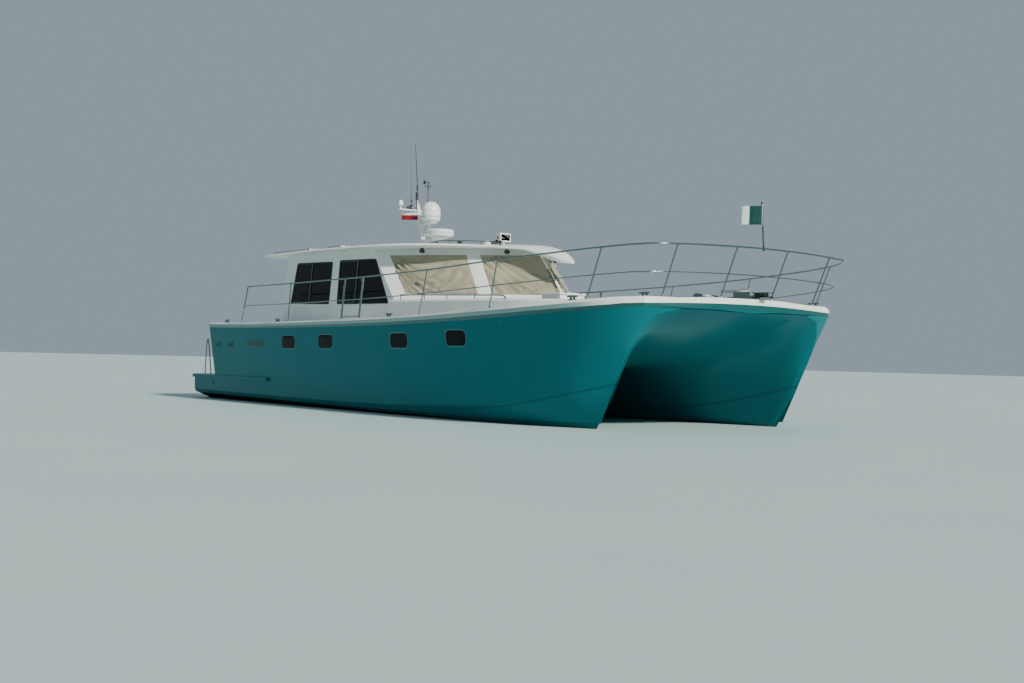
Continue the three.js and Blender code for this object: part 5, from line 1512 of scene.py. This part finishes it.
for x, y, lean, outward in STANCHIONS:
    top, normal = onto(deck_surface, (x - 0.05, y - 0.05, 3.0), (0, 0, -1))
    foot = Vector((x, y, top.z - 0.002))
    away = Vector((lean, outward, RAIL_HEIGHT))
    flanges.append(footing(foot, normal))
    flanges.append(turned(FOOT_SLEEVE, foot, away, 20))
    flanges.append(turned(HEAD_SLEEVE, foot + away, away, 20))
    flanges.append(turned(MID_SLEEVE, foot + away * MID_RAIL, away, 20))
fit("rail_flanges", flanges, steel, side="both")
post = Vector((0.142, 0, RAIL_HEIGHT))
keeper_at = Vector((0.183, 2.923, deck_top(0.183, 2.87) - 0.002)) + post * 0.93
keeper = [
    turned(((13.2, -20), (18.5, -18), (18.5, 18), (13.2, 20)), keeper_at, post, 20),
    slab(keeper_at + Vector((-0.034, 0.014, -0.012)), keeper_at + Vector((0.006, 0.022, 0.012)), 0.003),
]
fit("gate_keepers", keeper, steel, side="both")
bolt_at = keeper_at - Vector((0.037, 0, 0))
lever = [bolt_at + Vector((0, y, z)) for y, z in ((0.012, 0), (0.030, 0.004), (0.034, 0.022))]
bolt = [
    turned(((11, -30), (14.5, -24), (14.5, 24), (11, 30)), bolt_at, post, 20),
    swept(lever, [0.005, 0.005, 0.006], 10),
]
for side in SIDES:
    fit(f"gate_latch_{side}", bolt, steel, f"gate_{side}", side)

# Foredeck gear
# A horizontal electric windlass, twin stainless bow rollers with a galvanised plough anchor, and
# a hatch over the chain locker.
galvanised = plain(
    "galvanised_steel", (0.44, 0.46, 0.46), (0.24, 0.17, 0.11), 0.5, 0.55, 0.35, 90.0, 0.25,
    Metallic=0.75,
)
dress("windlass", galvanised)
dress("bow_roller", steel)
dress("spare_anchor", galvanised)
WINDLASS_X = 6.600
GYPSY_Y = -0.190
AXLE_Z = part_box("windlass")[1][2] - 0.080
GYPSY = (
    (30, -52), (74, -50), (84, -44), (84, -30), (60, -14), (55, 0), (60, 14), (84, 30), (84, 44), (74, 50),
    (30, 52),
)
DRUM = (
    (30, -4), (70, 0), (73, 6), (60, 22), (55, 45), (60, 68), (70, 78), (66, 86), (20, 90), (0, 88),
)
drums = [turned(GYPSY, (WINDLASS_X, GYPSY_Y, AXLE_Z), (0, 1, 0), 36)]
for a, b in around(5):
    for shift in (-0.024, 0.024):
        spot = (WINDLASS_X + a * 0.062, GYPSY_Y + shift, AXLE_Z + b * 0.062)
        drums.append(turned(((0, -12), (10, -8), (12, 4), (0, 14)), spot, (a, 0, b), 8))
drums.append(turned(DRUM, (WINDLASS_X, 0.146, AXLE_Z), (0, 1, 0), 36))
nut = ((30, 0), (34, 12), (28, 22), (0, 24))
drums.append(turned(nut, (WINDLASS_X, GYPSY_Y - 0.05, AXLE_Z), (0, -1, 0)))
fit("windlass_drums", drums, steel)
CASE = (
    (1.03, -0.003), (1.03, 0.05), (1.0, 0.085), (0.88, 0.115), (0.6, 0.133), (0.25, 0.140), (0.02, 0.142),
)
case = []
for share, height in CASE:
    put = level_at(WINDLASS_X, 0, AXLE_Z - 0.075)
    case.append([put(a * share, b * share, height) for a, b in rounded_outline(0.152, 0.152, 0.035)])
fit("windlass_case", lofted(case), gelcoat)
plate_z = AXLE_Z - 0.07
base = ((-3, -30), (-3, 0), (3, 3))
base = [layered(0.302, 0.222, 0.03, base, level_at(WINDLASS_X, 0, plate_z))]
for a in (-0.12, 0.12):
    for b in (-0.085, 0.085):
        bolt = ((12, 0), (12, 8), (7.5, 10), (7.5, 14), (0, 15))
        base.append(turned(bolt, (WINDLASS_X + a, b, plate_z + 0.002), sides=6))
fit("windlass_base", base, steel)

ROLLER_Z = 2.165
ROLLER = ((12, -46), (34, -46), (36, -40), (31, -16), (31, 16), (36, 40), (34, 46), (12, 46))
rollers = []
pins = []
for x1, y in ((7.600, 0.0), (7.740, 0.280)):
    rollers.append(turned(ROLLER, (x1, y, ROLLER_Z + 0.036), (0, 1, 0), 32))
    for sign in (-1, 1):
        at = (x1, y + sign * 0.056, ROLLER_Z + 0.036)
        pins.append(turned(((14, -3), (14, 6), (8, 9), (0, 9)), at, (0, sign, 0), 6))
        at = (x1 - 0.24, y + sign * 0.056, ROLLER_Z + 0.055)
        pins.append(turned(((9, -3), (9, 4), (0, 5)), at, (0, sign, 0), 16))
        edge = ((-0.32, 0.074), (0.02, 0.074), (0.038, 0.062), (0.0405, 0.0))
        edge = [(x1 + dx, y + sign * 0.052, ROLLER_Z + dz) for dx, dz in edge]
        pins.append(swept(edge, 0.0065, 8))
    stay = [(x1 - 0.24, y + shift, ROLLER_Z + 0.055) for shift in (-0.06, 0.06)]
    pins.append(swept(stay, 0.0045, 10))
nylon = plain("roller_nylon", (0.10, 0.10, 0.10), (0.35, 0.34, 0.30), 0.5, 0.5, 0.1, 200.0, 0.1)
fit("bow_roller_wheels", rollers, nylon)
fit("bow_roller_pins", pins, steel)
ANCHOR_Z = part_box("spare_anchor")[0][2]
# The anchor's fluke: share of its length, reach to the side and height of its edge.
FLUKE = (
    (0.0, 0.010, 0.048),
    (0.25, 0.075, 0.044),
    (0.55, 0.135, 0.032),
    (0.75, 0.158, 0.026),
    (0.92, 0.112, 0.026),
    (1.0, 0.02, 0.030),
)
# Its shank: x, half width, low and high edge.
SHANK = (
    (6.955, 0.010, 0.004, 0.030),
    (6.97, 0.0145, -0.0015, 0.044),
    (7.25, 0.0145, -0.0015, 0.0445),
    (7.42, 0.0145, -0.0015, 0.052),
    (7.56, 0.013, 0.002, 0.046),
)
anchor = []
for sign in (1, -1):
    rings = []
    for along, reach, lift in FLUKE:
        section = [(0.002, lift + 0.004), (reach * 0.5, lift), (reach, lift - 0.004)]
        section += [(reach, -0.002), (reach * 0.5, -0.002), (0.002, -0.002)]
        x = 7.288 + along * 0.30
        rings.append([Vector((x, sign * y, ANCHOR_Z + z)) for y, z in section[::sign]])
    anchor.append(lofted(rings))
shank = []
for x, half, low, high in SHANK:
    section = [(-half, low + 0.004), (-half * 0.6, low), (half * 0.6, low), (half, low + 0.004)]
    section += [(half, high - 0.004), (half * 0.6, high), (-half * 0.6, high), (-half, high - 0.004)]
    shank.append([Vector((x, y, ANCHOR_Z + z)) for y, z in section])
ring_z = ANCHOR_Z + 0.022
BOW = ((6.975, -0.018), (6.94, -0.020), (6.915, -0.010), (6.915, 0.010), (6.94, 0.020), (6.975, 0.018))
anchor += [
    lofted(shank),
    swept([(6.975, -0.016, ring_z), (6.975, 0.016, ring_z)], 0.008),
    swept([(x, y, ring_z) for x, y in BOW], 0.0065, 10),
]
fit("anchor_forging", anchor, galvanised)


def on_foredeck(a, b, height):
    """A point over the deck, about the middle of the chain locker's lid."""
    return Vector((6.10 + a, b, deck_top(6.10 + a, b) + height))


locker = layered(0.46, 0.62, 0.06, ((0, -6), (0, 3), (4, 6)), on_foredeck)
fit("chain_locker_lid", locker, gelcoat)
seal = [on_foredeck(a, b, 0.001) for a, b in rounded_outline(0.468, 0.628, 0.064)]
fit("chain_locker_seal", swept(seal, 0.004, 8, loop=True), rubber)
lifts = []
for y in (-0.2, 0.2):
    z = deck_top(5.92, y) + 0.006
    lifts.append(turned(((28, -3), (28, 2), (22, 4), (18, 1), (0, 1)), (5.92, y, z)))
    z = deck_top(6.33, y) + 0.006
    lifts.append(slab((6.30, y - 0.04, z - 0.004), (6.36, y + 0.04, z + 0.003), 0.0015))
    lifts.append(swept([(6.334, y - 0.042, z + 0.003), (6.334, y + 0.042, z + 0.003)], 0.005, 10))
fit("chain_locker_fittings", lifts, steel)

# Flags
# A plain red ensign flies from the mast and a plain green and white flag from the staff at the
# bow: light polyester cloth with a rope along the hoist, streaming aft and to starboard.
dress("flagstaff", black_moulding, 60)
staff_foot = Vector((7.876, 0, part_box("flagstaff")[0][2]))
clamp = [
    turned(((14, -10), (20, -6), (20, 50), (14, 55)), staff_foot, (-0.075, 0, 1)),
    turned(((14.2, -30), (19.5, -26), (19.5, 0), (14.2, 4)), staff_foot - Vector((0, 0, 0.014))),
]
fit("flagstaff_clamp", clamp, steel)


def flag_material(name, axis, first, start, second):
    """Cloth of one plain colour, and of a second from its start along the axis."""
    material, tree, shader = start_material(
        name, Roughness=0.75, Specular_IOR_Level=0.1, Sheen_Weight=0.03
    )
    place = place_in(tree, "UV")
    across = axes_of(tree, place)["XY".index(axis)]
    field = mix_colors(tree, across.math("GREATER_THAN", across, start), first, second)
    faded = mix_colors(tree, noise(tree, place, 9.0) * 0.04, field, (0.6, 0.6, 0.58))
    feed(tree, shader.inputs["Base Color"], faded)
    woven(tree, shader, 1100.0, 0.3, 0.0004)
    return material


WIND = Vector((-0.585, -0.811, 0))
ACROSS_WIND = Vector((-WIND.y, WIND.x, 0))
flag_rope = cloth_material("flag_rope", (0.62, 0.62, 0.58), (0.4, 0.4, 0.36), 700.0)


def flag(name, node, hoist, length, height, material, waves, droop):
    """A flag whose hoist stands at a point. It ripples more towards its fly, which droops."""
    points = []
    shares, faces = sheet_grid(40, 16)
    for u, v in shares:
        ripple = 0.0
        for deep, turns, start in waves:
            ripple += deep * u ** 0.8 * math.sin(2 * math.pi * (turns * u + 0.18 * v) + start)
        rise = Vector((0, 0, height * v - droop * u * u * (0.6 + 0.4 * v)))
        points.append(hoist + WIND * (0.016 + length * u) + ACROSS_WIND * ripple + rise)
    cloth = fit(name, (points, faces), material, smooth_angle=80)
    lay_flat(cloth, [(u * length, v * height) for u, v in shares], 0.0008)
    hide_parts(node)

    def beside_hoist(z, out, across=0.0):
        return hoist + WIND * out + ACROSS_WIND * across + Vector((0, 0, z))

    rope = [beside_hoist(-0.03, 0.014), beside_hoist(0, 0.016, 0.003)]
    rope += [beside_hoist(height * k / 8, 0.015) for k in range(1, 9)]
    rope.append(beside_hoist(height + 0.03, 0.014))
    parts = [swept(rope, 0.0045, 10)]
    for share in (0.04, 0.96):
        ring = [beside_hoist(height * share, 0.004 + a * 0.017, b * 0.017) for a, b in around(16)]
        parts.append(swept(ring, 0.0025, 8, loop=True))
    hardware = fit(f"{name}_halyard", parts, flag_rope)


bow_cloth = flag_material("bow_flag_cloth", "X", (0.004, 0.055, 0.052), 0.20, (0.55, 0.62, 0.60))
ensign_cloth = flag_material("ensign_cloth", "Y", (0.19, 0.003, 0.010), 0.105, (0.72, 0.72, 0.70))
flag(
    "bow_flag_sheet", "bow_flag", Vector((7.848, 0, 3.300)), 0.33, 0.30, bow_cloth,
    ((0.022, 1.1, 0.4), (0.008, 2.3, 1.0)), 0.020,
)
flag(
    "ensign_sheet", "ensign", Vector((-2.415, 0, 4.065)), 0.39, 0.16, ensign_cloth,
    ((0.024, 1.3, 0.2), (0.010, 2.6, 2.0)), 0.014,
)

# Helm
# To starboard under the windscreen stand a white console with a black instrument panel, screens
# and throttles, a three-spoked wheel on its after face, and a pedestal chair.
HELM_Y = -0.82
dress("helm_console", gelcoat)
wheel_black = plain(
    "wheel_leatherette", (0.02, 0.02, 0.022), (0.08, 0.08, 0.08), 0.5, 0.3, 0.1, 420.0, 0.15
)
dress("steering_wheel", steel, 60)
# The console's top slopes from its after edge up to the shelf.
LOW = Vector((0.700, HELM_Y, 1.990))
HIGH = Vector((0.950, HELM_Y, 2.130))
slope = (HIGH - LOW).normalized()
above_panel = Vector((-slope.z, 0, slope.x))


def on_panel(along, across):
    """Puts a piece's points on the slope, about a point of it."""
    return lambda a, b, lift: LOW + slope * (along + a) + Vector((0, across + b, 0)) + above_panel * lift


dash = layered(0.262, 0.66, 0.02, ((0, -2), (0, 4), (3, 7)), on_panel(0.143, 0), 4, 0.002)
fit("dash_panel", dash, black_moulding)
SCREEN = ((0, 5), (0, 16), (4, 20))
screens = [layered(0.17, 0.235, 0.012, SCREEN, on_panel(0.15, at), 4, 0.002) for at in (-0.18, 0.08)]
fit("dash_screens", screens, black_acrylic)
DIAL = ((37, -2), (37, 6), (33, 9), (31, 6), (0, 6))
spots = [on_panel(0.06 + 0.085 * k, 0.26)(0, 0, 0.007) for k in range(3)]
fit("dash_dials", [turned(DIAL, spot, above_panel, 32) for spot in spots], steel)
throttles = [slab((0.99, HELM_Y - 0.31, 2.129), (1.15, HELM_Y - 0.19, 2.150), 0.008)]
for y in (HELM_Y - 0.285, HELM_Y - 0.215):
    throttles.append(swept([(1.07, y, 2.14), (1.05, y, 2.22), (1.03, y, 2.26)], [0.008, 0.007, 0.007]))
    grip = ((0, -24), (14, -20), (18, 0), (14, 20), (0, 24))
    throttles.append(turned(grip, (1.03, y, 2.268), (0, 1, 0), 20))
fit("throttles", throttles, black_moulding)
COMPASS = (1.10, HELM_Y + 0.05, 2.130)
compass = turned(((60, -3), (60, 10), (50, 20), (46, 30), (0, 30)), COMPASS, sides=32)
fit("compass_base", compass, black_moulding)
bowl = [(45 * a, 45 * b) for a, b in around(32)[:8]] + [(0, 45)]
bowl = turned(bowl, (COMPASS[0], COMPASS[1], 2.160), sides=32)
fit("compass_bowl", bowl, lens)
WHEEL = Vector((0.600, HELM_Y, 1.840))
grip = [WHEEL + Vector((0, b * 0.21, a * 0.21)) for a, b in around(72)]
swell = [0.0152 + 0.0012 * math.cos(18 * 2 * math.pi * k / 72) for k in range(72)]
fit("wheel_rim", swept(grip, swell, 16, loop=True), wheel_black, "steering_wheel")
boss = ((34, -4), (36, 4), (32, 16), (18, 24), (0, 26))
boss = turned(boss, WHEEL - Vector((0.020, 0, 0)), (-1, 0, 0), 32)
fit("wheel_boss", boss, wheel_black, "steering_wheel")

# Upholstery
# The saloon's cushions are foam covered in pale grained vinyl. They are box-sided, with a piped
# seam round each face, and the helm seat has channels sewn across it.
vinyl, tree, shader, _ = weathered(
    "pale_vinyl", (0.62, 0.58, 0.48), (0.45, 0.40, 0.32), 0.48, 0.3, 0.0, 50.0, 0.0,
    Specular_IOR_Level=0.4,
)
leather = add_node(tree, "ShaderNodeTexVoronoi", {"feature": "DISTANCE_TO_EDGE"}, Scale=420.0)
tree.links.new(place_in(tree), leather.inputs["Vector"])
bump(tree, shader, leather.outputs["Distance"], 0.25, 0.0006)
piping = plain("vinyl_piping", (0.42, 0.39, 0.32), (0.3, 0.27, 0.22), 0.5, 0.2, 0.1, 200.0, 0.05)


def cushion(name, lo, hi, crown, flat_side, channels=0):
    """A foam cushion between two corners. Its free faces swell and its sides pull in at the
    seams. flat_side is the face that rests on something, such as -z."""
    lo = Vector(lo)
    hi = Vector(hi)
    size = hi - lo
    middle = (lo + hi) / 2
    steps = 18
    numbers = {}
    points = []
    faces = []

    def rests(axis, way):
        return flat_side == ("-" if way < 0 else "") + "xyz"[axis]

    def number(spot):
        """A point's number. It is made when it is first asked for."""
        if spot not in numbers:
            share = [2 * c / steps - 1 for c in spot]
            place = [0.0, 0.0, 0.0]
            for axis, away in enumerate(share):
                others = [share[o] for o in range(3) if o != axis]
                full = (1 - others[0] ** 4) * (1 - others[1] ** 4)
                give = 0.0 if rests(axis, away) else crown
                round_off = 1 - 0.045 * sum(abs(o) ** 8 for o in others) * abs(away) ** 8
                place[axis] = away * (size[axis] / 2 * round_off - give)
                place[axis] += math.copysign(give * full * abs(away) ** 3, away)
            numbers[spot] = len(points)
            points.append(middle + Vector(place))
        return numbers[spot]

    for axis in range(3):
        for end in (0, steps):
            for a in range(steps):
                for b in range(steps):
                    cells = []
                    for da, db in ((0, 0), (1, 0), (1, 1), (0, 1)):
                        spot = [end, end, end]
                        spot[(axis + 1) % 3] = a + da
                        spot[(axis + 2) % 3] = b + db
                        cells.append(number(tuple(spot)))
                    faces.append(cells if end else list(reversed(cells)))
    # Sewn channels run across the top or front face.
    if channels:
        run = 0 if size.x >= size.y else 1
        up_axis = 2 if size.z < min(size.x, size.y) else 1 - run
        for point in points:
            share = (point[run] - lo[run]) / size[run]
            near = (share * channels) % 1.0
            near = min(near, 1 - near) * size[run] / channels
            away = point[up_axis] - middle[up_axis]
            if 0.03 < share < 0.97 and abs(away) > size[up_axis] * 0.3:
                point[up_axis] -= math.copysign(0.006 * math.exp(-((near / 0.010) ** 2)), away)
    pad = fit(name, (points, faces), vinyl, smooth_angle=80)
    stuffing = pad.modifiers.new("stuffing", "SUBSURF")
    stuffing.render_levels = 1
    stuffing.levels = 1
    seams = []
    thin = min(range(3), key=lambda axis: size[axis])
    wide_axes = [axis for axis in range(3) if axis != thin]
    reach = [size[axis] - 2 * crown - 0.006 for axis in wide_axes]
    for level in (-1, 1):
        if rests(thin, level):
            continue
        loop = []
        for a, b in rounded_outline(*reach, 0.022, 4):
            spot = middle.copy()
            spot[wide_axes[0]] += a
            spot[wide_axes[1]] += b
            spot[thin] += level * (size[thin] / 2 - crown - 0.004)
            loop.append(spot)
        seams.append(swept(loop, 0.0045, 8, loop=True))
    fit(f"{name}_piping", seams, piping)
    return pad


# Helm chair
# Two cushions are fixed to a seat pan and a back plate of aluminium. They stand on a column whose
# round foot is bolted to the sole.
dress("helm_seat", vinyl)
CHAIR = (HELM_Y - 0.26, HELM_Y + 0.26)
seat = cushion("helm_seat_cushion", (-0.21, CHAIR[0], 1.640), (0.30, CHAIR[1], 1.745), 0.010, "-z", 3)
cushion("helm_back_cushion", (-0.235, CHAIR[0], 1.760), (-0.140, CHAIR[1], 2.285), 0.009, "-x")
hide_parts("helm_seat")
column = ((190, 0), (190, 12), (170, 22), (70, 30), (62, 50), (60, 440), (70, 450), (70, 465))
chair = [
    turned(column, (0.030, HELM_Y, 1.1505), sides=40),
    slab((-0.20, HELM_Y - 0.20, 1.612), (0.26, HELM_Y + 0.20, 1.638), 0.01),
    slab((-0.268, HELM_Y - 0.22, 1.62), (-0.238, HELM_Y + 0.22, 2.24), 0.01),
]
fit("helm_seat_pedestal", chair, aluminium)

# Settee
# A white moulded base with a low back stands along the port side and turns across the saloon at
# its after end. Loose cushions lie on it and against the back.
dress("settee", vinyl)
settee_base = [
    slab((-4.05, 1.20, 1.1503), (-1.10, 1.985, 1.475), 0.012),
    slab((-4.05, 0.575, 1.1503), (-3.465, 1.19, 1.475), 0.012),
    slab((-4.05, 1.86, 1.45), (-1.10, 1.985, 2.03), 0.012),
]
fit("settee_base", settee_base, gelcoat)
for k, (x0, x1) in enumerate(((-4.045, -3.09), (-3.08, -2.10), (-2.09, -1.105)), 1):
    cushion(f"settee_seat_cushion_{k}", (x0, 1.185, 1.477), (x1, 1.735, 1.605), 0.011, "-z")
    cushion(f"settee_back_cushion_{k}", (x0, 1.745, 1.60), (x1, 1.855, 2.045), 0.011, "y")
cushion("settee_return_cushion", (-4.045, 0.565, 1.477), (-3.455, 1.175, 1.605), 0.011, "-z")
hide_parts("settee")

# Joinery
# Varnished teak: the saloon table on its pedestal, and the galley along the starboard side with
# a pale stone worktop, a sink, doors and drawers with finger holes.
teak, tree, shader = start_material("varnished_teak", Coat_Weight=0.35, Coat_Roughness=0.12)
grain_way = add_node(tree, "ShaderNodeMapping", Scale=(1.2, 22.0, 22.0))
tree.links.new(place_in(tree), grain_way.inputs["Vector"])
figure = noise(tree, grain_way.outputs["Vector"], 2.0, 6.0, 0.6)
wood = mix_colors(tree, figure.above(0.35, 0.7), (0.30, 0.145, 0.055), (0.16, 0.065, 0.025))
feed(tree, shader.inputs["Base Color"], wood)
feed(tree, shader.inputs["Roughness"], figure * 0.2 + 0.22)
bump(tree, shader, figure, 0.08, 0.0008)
dress("saloon_table", teak)
dress("galley", teak)
TABLE_X, TABLE_Y = -2.35, 0.74
fiddle = [(TABLE_X + a, TABLE_Y + b, 1.868) for a, b in rounded_outline(1.208, 0.608, 0.03)]
fit("table_fiddle", swept(fiddle, 0.014, 10, loop=True), teak)
column = (
    (225, -0.2), (225, 12), (200, 30), (75, 42), (56, 60), (54, 640), (75, 665), (110, 690),
)
pedestal = turned(column, (TABLE_X, TABLE_Y, 1.1505), sides=40)
fit("table_pedestal", pedestal, aluminium)
stone = plain(
    "pale_worktop", (0.62, 0.60, 0.55), (0.30, 0.29, 0.27), 0.3, 0.15, 0.0, 300.0, 0.0,
    Coat_Weight=0.2,
)
worktop = slab((-4.052, -1.990, 2.0605), (-0.892, -1.348, 2.085), 0.006)
fit("galley_worktop", worktop, stone)
doors = []
pulls = []
for k in range(6):
    x0 = -4.02 + k * 0.52
    for low, high in ((1.25, 1.76), (1.79, 2.02)):
        doors.append(slab((x0, -1.360, low), (x0 + 0.49, -1.342, high), 0.005))
    for z in (1.72, 1.905):
        hole = ((20, -3), (20, 3), (15, 6), (12, 1), (0, 1))
        pulls.append(turned(hole, (x0 + 0.245, -1.342, z), (0, 1, 0), 20))
fit("galley_doors", doors, teak)
fit("galley_door_rings", pulls, steel)
SINK = ((0, -1), (0, 4), (16, 4), (22, 1), (50, 0.8))
TAP = ((-1.88, 2.085), (-1.88, 2.30), (-1.85, 2.345), (-1.79, 2.36), (-1.74, 2.335), (-1.73, 2.30))
sink = [
    layered(0.44, 0.36, 0.06, SINK, level_at(-2.0, -1.66, 2.085), least=0.01),
    swept([(-2.0, y, z) for y, z in TAP], 0.010),
]
fit("galley_sink", sink, steel)
